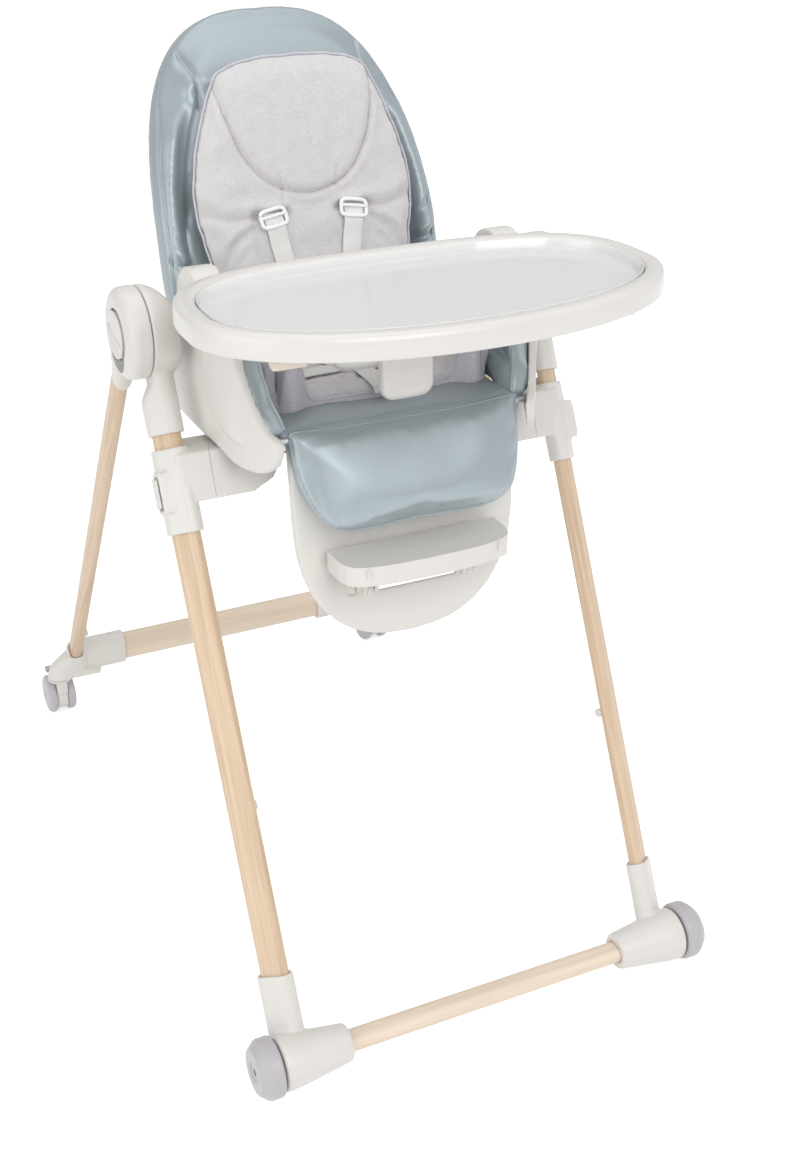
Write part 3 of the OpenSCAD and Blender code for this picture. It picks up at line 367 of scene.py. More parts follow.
@dataclass(frozen=True)
class Webbing:
    """Flat woven tape with ribs across it."""

    name: str = "webbing"
    colour: tuple[int, int, int] = (234, 233, 231)

    def build(self) -> bpy.types.Material:
        """The material: ribs and fine yarns from the piece's own UV map, in metres."""
        g = Graph(self.name)
        uv = g.add("ShaderNodeUVMap", {"uv_map": "tape"}, {})
        split = g.add("ShaderNodeSeparateXYZ", {}, {0: uv.outputs[0]})
        along, across = Expr(g, split.outputs[0]), Expr(g, split.outputs[1])
        rib = (along * 3600.0).sine() * 0.5 + 0.5
        yarn = (across * 5200.0 + (along * 1800.0).sine() * 1.4).sine() * 0.5 + 0.5
        base = rgb(*self.colour)
        low = tuple(c * 0.86 for c in base)
        g.set(Base_Color=g.mix((rib * 0.6 + yarn * 0.4), low, base), Roughness=0.82, Specular_IOR_Level=0.2,
              Sheen_Weight=0.2)
        g.bump(rib * 0.6 + yarn * 0.4, 0.0003, 0.6)
        return g.material


@dataclass(frozen=True)
class ZincSteel:
    """Bright zinc plated steel, drawn along its length."""

    name: str = "zinc_steel"

    def build(self) -> bpy.types.Material:
        """The material: fine draw lines and slightly clouded plate."""
        g = Graph(self.name)
        lines = g.noise(g.place(scale=(0.03, 1, 1)), 900.0, 2.0)
        g.set(Base_Color=g.mix(lines, rgb(168, 170, 174), rgb(204, 206, 210)), Metallic=1.0,
              Roughness=0.26 + lines * 0.14)
        g.bump(lines, 0.00003, 0.4)
        return g.material


class Wardrobe:
    """Every finish of the chair, built once."""

    def __init__(self) -> None:
        """Builds all materials."""
        tilt_front, tilt_rear = 26.0, -37.6
        self.white = Moulded("white_plastic", (220, 217, 212)).build()
        self.tray_white = Moulded("tray_plastic", (219, 216, 212), gloss=0.26, skin=0.000012, coat=0.3).build()
        # Real grey plastic of the wheels and buckle button; its name is also the slot label of the painted gap shade
        # pieces.
        self.grey = Moulded("grey_plastic", (186, 183, 187), gloss=0.42).build()
        self.cream = Moulded("cream_plastic", (226, 214, 199)).build()
        self.slide_white = Moulded("slide_plastic", (240, 240, 239), gloss=0.3).build()
        # Dark grey finish of painted shade: the sheets in the hubs' finger gaps and the line down each bracket.
        self.gap = Moulded("parting_line", (150, 148, 145), gloss=0.6, coat=0.0).build()
        self.clear = ClearSheet().build()
        self.coated = CoatedCloth().build()
        self.jersey = Knit(turn=(15, 0, 0)).build()
        self.flat_jersey = Knit("flat_jersey", turn=(90, 0, 0)).build()
        self.piping = Knit("piping", (208, 205, 212), (192, 188, 198)).build()
        self.webbing = Webbing().build()
        # Dark grey jersey of the head panel's seam cord: painted seam shadow.
        self.seam = Knit("seam_shadow", (172, 169, 172), (160, 157, 160)).build()
        self.steel = ZincSteel().build()
        self.beech_front = Beech("beech_front", (tilt_front, 0, 0)).build()
        self.beech_rear = Beech("beech_rear", (tilt_rear, 0, 0)).build()
        self.beech_bar = Beech("beech_bar", (0, 90, 0), pale=0.42).build()
        self.thread = Webbing("thread", (206, 214, 218)).build()

    def dress(self, obj: bpy.types.Object, material: bpy.types.Material) -> None:
        """Gives a whole object one material."""
        obj.data.materials.clear()
        obj.data.materials.append(material)

    def fit(self, obj: bpy.types.Object, finish: bpy.types.Material, body: str, slot: str, node: str = "") -> None:
        """Dresses a piece, rides it on a body and, where there is one, hides the node it stands for."""
        self.dress(obj, finish)
        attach(obj, body)
        if node:
            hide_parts(node)


# ------------------------------------------------------------------ frames and curves


@dataclass(frozen=True)
class Frame:
    """A sub-assembly's own axes: an origin in metres and a lean about X in degrees."""

    origin: tuple[float, float, float]
    lean: float = 0.0

    def to_row(self, points: Array) -> Array:
        """Local millimetres as metres in the row's frame."""
        p = np.asarray(points, dtype=float)
        c, s = math.cos(math.radians(self.lean)), math.sin(math.radians(self.lean))
        x, y, z = p[..., 0], p[..., 1], p[..., 2]
        turned = np.stack([x, y * c + z * s, -y * s + z * c], axis=-1)
        return turned * MM + np.asarray(self.origin)

    def to_local(self, points: Array) -> Array:
        """Metres in the row's frame as local millimetres."""
        p = (np.asarray(points, dtype=float) - np.asarray(self.origin)) / MM
        c, s = math.cos(math.radians(self.lean)), math.sin(math.radians(self.lean))
        x, y, z = p[..., 0], p[..., 1], p[..., 2]
        return np.stack([x, y * c - z * s, y * s + z * c], axis=-1)

    def shifted(self, x: float, y: float, z: float) -> "Frame":
        """The same axes from another local point."""
        return Frame(tuple(self.to_row(np.array([x, y, z]))), self.lean)


def smooth(t: Array) -> Array:
    """Smooth step: 3 t squared minus 2 t cubed, with t kept between 0 and 1."""
    t = np.clip(t, 0.0, 1.0)
    return t * t * (3 - 2 * t)


def hill(x: Array, centre: float, width: float) -> Array:
    """Bell curve of height 1."""
    return np.exp(-(((x - centre) / width) ** 2))


def resample(points: Array, count: int, closed: bool = False) -> Array:
    """Points at equal steps along a polyline.

    Args:
        points: (n, k) corners.
        count: how many points to return.
        closed: join the last corner to the first.

    Returns:
        (count, k) points; an open line keeps both ends.
    """
    p = np.vstack([points, points[:1]]) if closed else np.asarray(points, dtype=float)
    step = np.linalg.norm(np.diff(p, axis=0), axis=1)
    run = np.concatenate([[0], np.cumsum(step)])
    where = np.linspace(0, run[-1], count, endpoint=not closed)
    return np.stack([np.interp(where, run, p[:, k]) for k in range(p.shape[1])], axis=1)


def rounded(points: Array, passes: int, closed: bool = True) -> Array:
    """A polyline smoothed by averaging each point with its neighbours."""
    p = np.array(points, dtype=float)
    for _ in range(passes):
        if closed:
            p = 0.5 * p + 0.25 * (np.roll(p, 1, axis=0) + np.roll(p, -1, axis=0))
        else:
            p[1:-1] = 0.5 * p[1:-1] + 0.25 * (p[:-2] + p[2:])
    return p


def spline(knots: Sequence[Sequence[float]], count: int) -> Array:
    """Catmull-Rom curve through knots: a cubic per span whose slopes are half the chord of the neighbours."""
    k = np.asarray(knots, dtype=float)
    ends = np.vstack([2 * k[0] - k[1], k, 2 * k[-1] - k[-2]])
    t = np.linspace(0, len(k) - 1, count)
    i = np.minimum(t.astype(int), len(k) - 2)
    u = (t - i)[:, None]
    a, b, c, d = ends[i], ends[i + 1], ends[i + 2], ends[i + 3]
    return 0.5 * (2 * b + (c - a) * u + (2 * a - 5 * b + 4 * c - d) * u**2 + (3 * b - a - 3 * c + d) * u**3)


def crowned(half: float, rise: float, power: float, middle: float, low: float, low_half: float) -> Array:
    """Outline of straight flared sides under an oval top, from the lower left over the top to the lower right.

    The top is x = half cos(w)^(2/power), z = middle + rise sin(w)^(2/power).
    """
    w = np.linspace(0, math.pi / 2, 40)
    top = np.stack([half * np.cos(w) ** (2 / power), middle + rise * np.sin(w) ** (2 / power)], axis=1)
    sides = np.array([[low_half - 14, low], [low_half, low + 14], [low_half, middle - 62], [half - 3, middle - 26]])
    right = np.vstack([sides, top])
    return np.vstack([right * [-1, 1], right[-2::-1]])


def distance_to(points: Array, line: Array) -> Array:
    """Distance from each point to a polyline, by the nearest of its segments."""
    a, b = line[:-1], line[1:]
    ab = b - a
    span = (ab**2).sum(axis=1) + 1e-12
    best = np.full(len(points), 1e9)
    for start in range(0, len(points), 4000):
        p = points[start:start + 4000, None, :]
        t = np.clip(((p - a) * ab).sum(axis=2) / span, 0, 1)
        gap = np.linalg.norm(p - (a + t[..., None] * ab), axis=2)
        best[start:start + 4000] = gap.min(axis=1)
    return best


# ------------------------------------------------------------------ meshes


def make_mesh(name: str, points: Array, quads: Array, shade_smooth: bool = True) -> bpy.types.Object:
    """An object from points in metres and faces of four (or three) corners."""
    mesh = bpy.data.meshes.new(name)
    mesh.from_pydata(points.reshape(-1, 3).tolist(), [], quads.tolist())
    mesh.validate()
    if shade_smooth:
        mesh.polygons.foreach_set("use_smooth", np.ones(len(mesh.polygons), dtype=bool))
    obj = bpy.data.objects.new(name, mesh)
    bpy.context.scene.collection.objects.link(obj)
    return obj


def grid_faces(rows: int, columns: int, close_rows: bool, close_columns: bool) -> Array:
    """Faces of a grid of rows by columns, wrapped round either way."""
    r = np.arange(rows if close_rows else rows - 1)
    c = np.arange(columns if close_columns else columns - 1)
    i, j = np.meshgrid(r, c, indexing="ij")
    i2, j2 = (i + 1) % rows, (j + 1) % columns
    return np.stack([i * columns + j, i2 * columns + j, i2 * columns + j2, i * columns + j2], axis=-1).reshape(-1, 4)


def skin(name: str, grid: Array, close_rows: bool = False, close_columns: bool = True,
         caps: bool = True) -> bpy.types.Object:
    """A surface over a grid of points in metres, its ends capped by fans, facing outwards.

    Args:
        name: the piece's name.
        grid: (rows, columns, 3) points.
        close_rows: join the last row to the first.
        close_columns: join the last column to the first.
        caps: close the first and last row to their centres.

    Returns:
        The object.
    """
    rows, columns = grid.shape[:2]
    points = grid.reshape(-1, 3)
    faces = grid_faces(rows, columns, close_rows, close_columns).tolist()
    if caps and not close_rows:
        points = np.vstack([points, grid[0].mean(axis=0), grid[-1].mean(axis=0)])
        n = rows * columns
        j = np.arange(columns)
        k = (j + 1) % columns
        faces += np.stack([k, j, np.full(columns, n)], axis=1).tolist()
        last = (rows - 1) * columns
        faces += np.stack([last + j, last + k, np.full(columns, n + 1)], axis=1).tolist()
    mesh = bpy.data.meshes.new(name)
    mesh.from_pydata(points.tolist(), [], faces)
    obj = bpy.data.objects.new(name, mesh)
    bpy.context.scene.collection.objects.link(obj)
    face_outwards(obj)
    return obj


def face_outwards(obj: bpy.types.Object) -> None:
    """Merges doubles, recalculates the normals of a closed mesh outwards, and shades it smooth."""
    work = bmesh.new()
    work.from_mesh(obj.data)
    bmesh.ops.remove_doubles(work, verts=work.verts, dist=1e-6)
    bmesh.ops.recalc_face_normals(work, faces=work.faces)
    if work.calc_volume(signed=True) < 0:
        bmesh.ops.reverse_faces(work, faces=work.faces)
    for face in work.faces:
        face.smooth = True
    work.to_mesh(obj.data)
    work.free()


def tube(name: str, path: Array, radius: float | Array, sides: int = 10, closed: bool = False) -> bpy.types.Object:
    """A round cord along a path in metres: circles in the plane across the path, carried by parallel transport."""
    t = np.gradient(path, axis=0) if not closed else np.roll(path, -1, axis=0) - np.roll(path, 1, axis=0)
    t /= np.linalg.norm(t, axis=1, keepdims=True) + 1e-12
    up = np.cross(t, [0.12, 0.31, 0.94])
    up /= np.linalg.norm(up, axis=1, keepdims=True)
    side = np.cross(t, up)
    a = np.linspace(0, 2 * math.pi, sides, endpoint=False)
    r = np.broadcast_to(np.asarray(radius, dtype=float), (len(path),))[:, None, None]
    ring = up[:, None, :] * np.cos(a)[None, :, None] + side[:, None, :] * np.sin(a)[None, :, None]
    return skin(name, path[:, None, :] + ring * r, close_rows=closed, caps=not closed)


def ribbon(name: str, path: Array, across: Array, width: float, thick: float) -> bpy.types.Object:
    """Flat webbing along a path in metres, with round edges and a UV map called tape in metres.

    The section is a rectangle with half-round edges, sampled at twelve places.
    """
    t = np.gradient(path, axis=0)
    t /= np.linalg.norm(t, axis=1, keepdims=True) + 1e-12
    side = across - (across * t).sum(axis=1, keepdims=True) * t
    side /= np.linalg.norm(side, axis=1, keepdims=True)
    up = np.cross(side, t)
    h, w = thick / 2, width / 2 - thick / 2
    s = np.array([[-w, -h], [-w / 3, -h], [w / 3, -h], [w, -h], [w + h * 0.8, -h * 0.6], [w + h * 0.8, h * 0.6],
                  [w, h], [w / 3, h], [-w / 3, h], [-w, h], [-w - h * 0.8, h * 0.6], [-w - h * 0.8, -h * 0.6]])
    grid = path[:, None, :] + side[:, None, :] * s[None, :, :1] + up[:, None, :] * s[None, :, 1:]
    obj = skin(name, grid)
    run = np.concatenate([[0], np.cumsum(np.linalg.norm(np.diff(path, axis=0), axis=1))])
    verts = np.empty(len(obj.data.vertices) * 3)
    obj.data.vertices.foreach_get("co", verts)
    verts = verts.reshape(-1, 3)
    nearest = ((verts[:, None, :] - path[None]) ** 2).sum(axis=2).argmin(axis=1)
    uv = np.stack([run[nearest], ((verts - path[nearest]) * side[nearest]).sum(axis=1)], axis=1)
    loops = np.empty(len(obj.data.loops), dtype=int)
    obj.data.loops.foreach_get("vertex_index", loops)
    layer = obj.data.uv_layers.new(name="tape")
    layer.data.foreach_set("uv", uv[loops].ravel())
    return obj


def vertices(obj: bpy.types.Object) -> Array:
    """The object's vertex positions, (n, 3) in metres."""
    flat = np.empty(len(obj.data.vertices) * 3)
    obj.data.vertices.foreach_get("co", flat)
    return flat.reshape(-1, 3)


def set_vertices(obj: bpy.types.Object, points: Array) -> None:
    """Moves the object's vertices."""
    obj.data.vertices.foreach_set("co", np.asarray(points, dtype=float).ravel())
    obj.data.update()


def bake(obj: bpy.types.Object) -> None:
    """Replaces the object's mesh by the one its modifiers make, and removes them."""
    graph = bpy.context.evaluated_depsgraph_get()
    mesh = bpy.data.meshes.new_from_object(obj.evaluated_get(graph))
    obj.modifiers.clear()
    obj.data = mesh


def copy_of(node: bpy.types.Object, name: str) -> bpy.types.Object:
    """A merged copy of a frame node, facing outwards."""
    obj = bpy.data.objects.new(name, node.data.copy())
    bpy.context.scene.collection.objects.link(obj)
    points = np.array([node.matrix_world @ v.co for v in obj.data.vertices])
    set_vertices(obj, points)
    work = bmesh.new()
    work.from_mesh(obj.data)
    bmesh.ops.remove_doubles(work, verts=work.verts, dist=2e-6)
    for face in work.faces:
        face.smooth = True
    work.to_mesh(obj.data)
    work.free()
    return obj


# ------------------------------------------------------------------ soft goods tools


def spread(obj: bpy.types.Object, moves: Array, passes: int) -> Array:
    """Evens out moves per point: passes of averaging with the points that an edge joins."""
    ends = np.empty(len(obj.data.edges) * 2, dtype=np.int32)
    obj.data.edges.foreach_get("vertices", ends)
    first, second = ends.reshape(-1, 2).T
    count = np.maximum(np.bincount(ends, minlength=len(moves)), 1)
    for _ in range(passes):
        near = [np.bincount(first, axis[second], len(moves)) + np.bincount(second, axis[first], len(moves))
                for axis in moves.T]
        moves = 0.4 * moves + 0.6 * (np.stack(near) / count).T
    return moves


def sewn(obj: bpy.types.Object, cell: float, pressure: float, cap: float,
         hold: Callable[[Array], Array] | None = None, relax: int = 3, even: int = 8) -> None:
    """Turns a closed shape into a filled cover: small cells, a cloth simulation under pressure, one subdivision.

    Args:
        obj: the closed shape, a little smaller than the filled piece.
        cell: cell size in millimetres.
        pressure: the cloth's inner pressure.
        cap: the furthest that a point may move, in millimetres.
        hold: weight per point, from 0 for fixed to 1 for free, from positions in metres.
        relax: passes of neighbour averaging before the simulation.
        even: passes of neighbour averaging of the moves after it.
    """
    remesh = obj.modifiers.new("cells", "REMESH")
    remesh.mode, remesh.voxel_size, remesh.use_smooth_shade = "VOXEL", cell * MM, True
    soften = obj.modifiers.new("soften", "SMOOTH")
    soften.factor, soften.iterations = 0.5, relax
    bake(obj)
    base = vertices(obj)
    cloth = obj.modifiers.new("cloth", "CLOTH")
    cloth.settings.quality = 4
    cloth.settings.mass = 0.25
    cloth.settings.tension_stiffness = cloth.settings.compression_stiffness = 12.0
    cloth.settings.bending_stiffness = 0.6
    cloth.settings.use_pressure = True
    cloth.settings.uniform_pressure_force = pressure
    cloth.settings.effector_weights.gravity = 0.0
    cloth.collision_settings.use_collision = False
    for number in range(1, 21):
        bpy.context.scene.frame_set(number)
    bake(obj)
    bpy.context.scene.frame_set(1)
    moved = vertices(obj) - base
    far = np.linalg.norm(moved, axis=1, keepdims=True) + 1e-12
    moved = spread(obj, moved * np.minimum(1.0, cap * MM / far), even)
    if hold is not None:
        moved *= hold(base)[:, None]
    set_vertices(obj, base + moved)
    fine = obj.modifiers.new("fine", "SUBSURF")
    fine.levels = fine.render_levels = 1
    bake(obj)
    obj.data.polygons.foreach_set("use_smooth", np.ones(len(obj.data.polygons), dtype=bool))


@dataclass(frozen=True)
class Fold:
    """A crease or ridge of a cover along a line: depth is positive for a crease. Millimetres."""

    line: tuple[tuple[float, float], ...]
    width: float
    depth: float

    def height(self, flat: Array) -> Array:
        """Depth at points of the cover's plane: a bell of the distance to the line."""
        return self.depth * hill(distance_to(flat, np.asarray(self.line, dtype=float)), 0.0, self.width)


def crease(obj: bpy.types.Object, frame: Frame, folds: Sequence[Fold], direction: Array, plane: tuple[int, int],
           mask: Callable[[Array], Array] | None = None) -> None:
    """Moves a cover's points along a local direction by the sum of its folds."""
    local = frame.to_local(vertices(obj))
    flat = local[:, list(plane)]
    depth = sum(f.height(flat) for f in folds)
    if mask is not None:
        depth = depth * mask(local)
    set_vertices(obj, frame.to_row(local + depth[:, None] * np.asarray(direction, dtype=float)))


def ripple(flat: Array, size: float, seed: int) -> Array:
    """Smooth random waves of height about 1: twelve sines of seeded direction, length and phase."""
    rng = np.random.default_rng(seed)
    total = np.zeros(len(flat))
    angles, stretches, phases = rng.uniform(0, math.pi, 12), rng.uniform(0.7, 1.6, 12), rng.uniform(0, 6.28, 12)
    for angle, stretch, phase in zip(angles, stretches, phases):
        total += np.sin((flat[:, 0] * math.cos(angle) + flat[:, 1] * math.sin(angle)) * 2 * math.pi / (size * stretch)
                        + phase)
    return total / 3.4


def lay_on(obj: bpy.types.Object, frame: Frame, line: Array, origin_depth: float, toward: Array, lift: float,
           plane: tuple[int, int]) -> Array:
    """Drops a line on a cover.

    Args:
        obj: the cover.
        frame: the axes that the line is drawn in.
        line: (n, 2) points on the two axes of plane, in millimetres.
        origin_depth: where the drop starts on the third axis.
        toward: local direction of the drop.
        lift: how far above the cover the line lies, in millimetres.
        plane: the two axes that the line is drawn on.

    Returns:
        (n, 3) points in metres in the row's frame; points that miss keep their neighbours' depth.
    """
    points, faces = vertices(obj), [tuple(p.vertices) for p in obj.data.polygons]
    tree = BVHTree.FromPolygons([Vector(p) for p in points], faces)
    third = ({0, 1, 2} - set(plane)).pop()
    start = np.zeros((len(line), 3))
    start[:, list(plane)] = line
    start[:, third] = origin_depth
    origin = np.asarray(frame.origin)
    way = frame.to_row(np.asarray(toward, dtype=float)) - origin
    way /= np.linalg.norm(way)
    found = []
    for point in frame.to_row(start):
        hit = tree.ray_cast(Vector(point), Vector(way))[0]
        found.append(np.nan if hit is None else (np.array(hit) - point) @ way)
    run = np.array(found)
    good = ~np.isnan(run)
    run = np.interp(np.arange(len(run)), np.nonzero(good)[0], run[good])
    run = rounded(run[:, None], 3, closed=False)[:, 0]
    return frame.to_row(start) + (run - lift * MM)[:, None] * way


def snap(obj: bpy.types.Object, path: Array, lift: float) -> Array:
    """Moves a line's points to the nearest place on a piece, then lift millimetres outwards."""
    faces = [tuple(p.vertices) for p in obj.data.polygons]
    tree = BVHTree.FromPolygons([Vector(p) for p in vertices(obj)], faces)
    found = [tree.find_nearest(Vector(p)) for p in path]
    return np.array([np.array(hit) + np.array(normal) * lift * MM for hit, normal, _, _ in found])


def offset_ring(outline: Array, inset: float) -> Array:
    """A closed counter-clockwise or clockwise outline moved inwards by an inset."""
    t = np.roll(outline, -1, axis=0) - np.roll(outline, 1, axis=0)
    t /= np.linalg.norm(t, axis=1, keepdims=True) + 1e-9
    normal = np.stack([t[:, 1], -t[:, 0]], axis=1)
    area = 0.5 * (outline[:, 0] * np.roll(outline[:, 1], -1) - outline[:, 1] * np.roll(outline[:, 0], -1)).sum()
    return outline + normal * inset * (-1 if area > 0 else 1)


def toward_centre(outline: Array, centre: Sequence[float], shares: Sequence[float]) -> Array:
    """Rings that shrink to a centre: (rings, n, 2)."""
    c = np.asarray(centre, dtype=float)
    return np.stack([c + (outline - c) * share for share in shares])


def paint_faces(obj: bpy.types.Object, second: bpy.types.Material, pick: Callable[[Array, Array], Array]) -> None:
    """Gives the faces that pick chooses, from their centres and normals, a second material."""
    n = len(obj.data.polygons)
    centre, normal = np.empty(n * 3), np.empty(n * 3)
    obj.data.polygons.foreach_get("center", centre)
    obj.data.polygons.foreach_get("normal", normal)
    obj.data.materials.append(second)
    obj.data.polygons.foreach_set("material_index", pick(centre.reshape(-1, 3), normal.reshape(-1, 3)).astype(int))


# ------------------------------------------------------------------ the backrest


@dataclass
class Backrest:
    """Padded cover with a swept rim, knitted liner with a head panel, shoulder straps and adjusters.

    X runs across, Z up along the backrest, and -Y out of its front.
    """

    wardrobe: Wardrobe
    frame: Frame
    seat: Frame
    half: float = 176.0
    top: float = 411.0
    middle: float = 100.0
    foot: float = -8.0
    foot_half: float = 144.0
    sweep: float = 64.0
    sweep_from: float = 150.0
    rear: float = 3.6
    rim: float = -24.3
    face: float = -9.3
    strap_x: float = 51.0
    slit_at: float = 171.0
    liner_edge: tuple = ((0, 10), (62, 11), (98, 16), (115, 32), (122, 70), (128, 110), (133.5, 142), (139, 176),
                         (139, 206), (132, 241), (123, 271), (108, 308), (101, 321), (97, 330), (85, 338), (68, 344.5),
                         (36, 349.5), (0, 350.5))
    head_seam: tuple = ((-99, 330), (-97, 318), (-91, 285), (-77, 243), (-48, 206), (0, 190.5), (48, 206), (77, 243),
                        (91, 285), (97, 318), (99, 330))

    def build(self) -> None:
        """Builds the backrest's soft pieces."""
        cover = self.cover()
        liner = self.liner()
        self.cover_trim(cover)
        self.liner_trim(liner)
        for side in Side:
            self.shoulder_strap(side, liner)

    def swept(self, s: Array) -> Array:
        """How far the cover sweeps back at height s."""
        return self.sweep * np.maximum(0.0, (s - self.sweep_from) / (self.top - self.sweep_from)) ** 1.45

    def seam_inset(self, s: Array) -> Array:
        """How far inside the outline the cover's edge seam runs: it meets the edge beside the head panel."""
        return 7.6 * (1 - smooth((s - 276) / 84)) + 0.6

    def outline(self, count: int = 360) -> Array:
        """The cover's closed outline seen from the front."""
        line = crowned(self.half, self.top - self.middle, 2.7, self.middle, self.foot, self.foot_half)
        return rounded(resample(line, count, closed=True), 6)

    def front(self, flat: Array) -> Array:
        """Depth of the cover's front: the swept rim, a soft roll inside it, the forward face and the head's slope."""
        s = flat[:, 1]
        d = distance_to(flat, np.vstack([self.outline(), self.outline()[:1]]))
        slope = np.clip((s - 328) / 82, 0, 1) ** 1.15
        inner = self.face + (self.rim + self.swept(np.full_like(s, 408.0)) + 2 - self.face) * slope
        m = smooth((d - 6) / 30)
        roll = 12.5 * hill(d, 20, 11.5) * (1 - smooth((s - 262) / 70)) * smooth((s - 10) / 60)
        return (self.rim + self.swept(s)) * (1 - m) + inner * m - roll

    def cover(self) -> bpy.types.Object:
        """The cover: rear face, side band and front, as rings round the outline that close at its middle."""
        outline = self.outline()
        centre = (0.0, 190.0)
        shares = (0.02, 0.2, 0.4, 0.6, 0.8)
        rings = []
        for ring in toward_centre(offset_ring(outline, 8), centre, shares):
            rings.append(np.stack([ring[:, 0], self.rear + self.swept(ring[:, 1]), ring[:, 1]], axis=1))
        for inset, share, shift in ((7, 0, 0), (3, 0, 0.2), (1.2, 0, -2.5), (0.8, 0.35, 0), (0.8, 0.62, 0),
                                    (1.2, 0.86, 0), (3.0, 1.0, 0.3)):
            ring = offset_ring(outline, inset)
            deep = self.swept(ring[:, 1])
            y = self.rear + (self.rim - self.rear) * share + deep + shift
            rings.append(np.stack([ring[:, 0], y, ring[:, 1]], axis=1))
        for inset in (7, 11, 15, 19, 24, 30):
            ring = offset_ring(outline, inset)
            rings.append(np.stack([ring[:, 0], self.front(ring), ring[:, 1]], axis=1))
        for ring in toward_centre(offset_ring(outline, 34), centre, np.linspace(1.0, 0.02, 26)):
            rings.append(np.stack([ring[:, 0], self.front(ring), ring[:, 1]], axis=1))
        obj = skin("backrest_cover", self.frame.to_row(np.stack(rings)))
        frame = self.frame

        def free(points: Array) -> Array:
            """The front is free; the rear lies on the shell."""
            local = frame.to_local(points)
            return smooth((self.rear + self.swept(local[:, 2]) - 15 - local[:, 1]) / 10)

        sewn(obj, 4.0, 2.4, 5.0, free, relax=5)
        local = self.frame.to_local(vertices(obj))
        flat = local[:, [0, 2]]
        d = distance_to(flat, np.vstack([outline, outline[:1]]))
        ahead = smooth((self.rear + self.swept(flat[:, 1]) - 12 - local[:, 1]) / 6)
        seam = 2.2 * hill(d - self.seam_inset(flat[:, 1]), 0.0, 2.4) * ahead * (1 - smooth((flat[:, 1] - 318) / 40))
        edge = distance_to(flat, np.vstack([self.liner_outline(), self.liner_outline()[:1]]))
        trench = 5.5 * hill(edge, 3.5, 10) * ahead * (1 - smooth((flat[:, 1] - 300) / 40))
        pull = trench + 0.6 * ripple(flat, 60, 5) * hill(d, 22, 16) * ahead * smooth((330 - flat[:, 1]) / 60)
        local[:, 1] += seam + pull
        set_vertices(obj, self.frame.to_row(local))
        folds = []
        for sign, deep in ((-1, 0.45), (1, 1.0)):
            folds += [
                Fold(((sign * 114, 368), (sign * 107, 346), (sign * 102, 325), (sign * 102, 298)), 3.0, 4.2),
                Fold(((sign * 125, 354), (sign * 117, 334), (sign * 113, 306)), 7.0, -2.8),
                Fold(((sign * 176, 150), (sign * 162, 139), (sign * 146, 131)), 6.0, -5.0 * deep),
                Fold(((sign * 174, 132), (sign * 158, 123), (sign * 138, 119)), 4.5, 7.0 * deep),
                Fold(((sign * 168, 170), (sign * 157, 156), (sign * 146, 147)), 5.0, 4.0 * deep),
                Fold(((sign * 158, 62), (sign * 146, 72), (sign * 130, 66)), 5.0, 3.6),
                Fold(((sign * 152, 44), (sign * 138, 52), (sign * 120, 44)), 6.0, 3.0),
            ]
        crease(obj, self.frame, folds, np.array([0, 1, 0]), (0, 2),
               lambda p: smooth((self.rear + self.swept(p[:, 2]) - 10 - p[:, 1]) / 8)
               * smooth((distance_to(p[:, [0, 2]], outline) - 2) / 9))
        self.wardrobe.fit(obj, self.wardrobe.coated, "backrest", "leatherette", "back_pad")
        return obj

    def cover_trim(self, cover: bpy.types.Object) -> None:
        """Edge piping in the seam between the cover's front and its side band, up to the head panel."""
        outline = self.outline(420)
        ring = offset_ring(outline, self.seam_inset(outline[:, 1])[:, None])
        for side in Side:
            run = ring[(ring[:, 1] > 30) & (ring[:, 1] < 346) & (ring[:, 0] * side.value > 100)]
            run = run[np.argsort(run[:, 1])]
            path = lay_on(cover, self.frame, run, -120.0, np.array([0, 1, 0]), 0.1, (0, 2))
            radius = 1.25 * MM * (1 - 0.75 * smooth((run[:, 1] - 310) / 34))
            piping = tube(f"backrest_piping_{side.word}", rounded(path, 4, closed=False), radius, 8)
            self.wardrobe.fit(piping, self.wardrobe.coated, "backrest", "leatherette")

    def liner_outline(self, count: int = 300) -> Array:
        """The liner's closed outline: a shield whose upper corners are where the head panel's seam meets the edge."""
        half = spline(self.liner_edge, 160)
        line = np.vstack([half, (half * [-1, 1])[-2::-1]])
        ring = rounded(resample(line, count, closed=True), 3)
        wave = np.sin(np.arange(count) * 2 * math.pi / count * 31) * 0.45
        return ring + (ring - [0, 180]) / 170 * wave[:, None]

    def liner_front(self, flat: Array, outline: Array) -> Array:
        """Depth of the liner's front: a quick rise from the edge and a slow crown."""
        d = distance_to(flat, np.vstack([outline, outline[:1]]))
        return -42.0 - 8.5 * (1 - np.exp(-d / 12)) - 3.0 * smooth(d / 110)

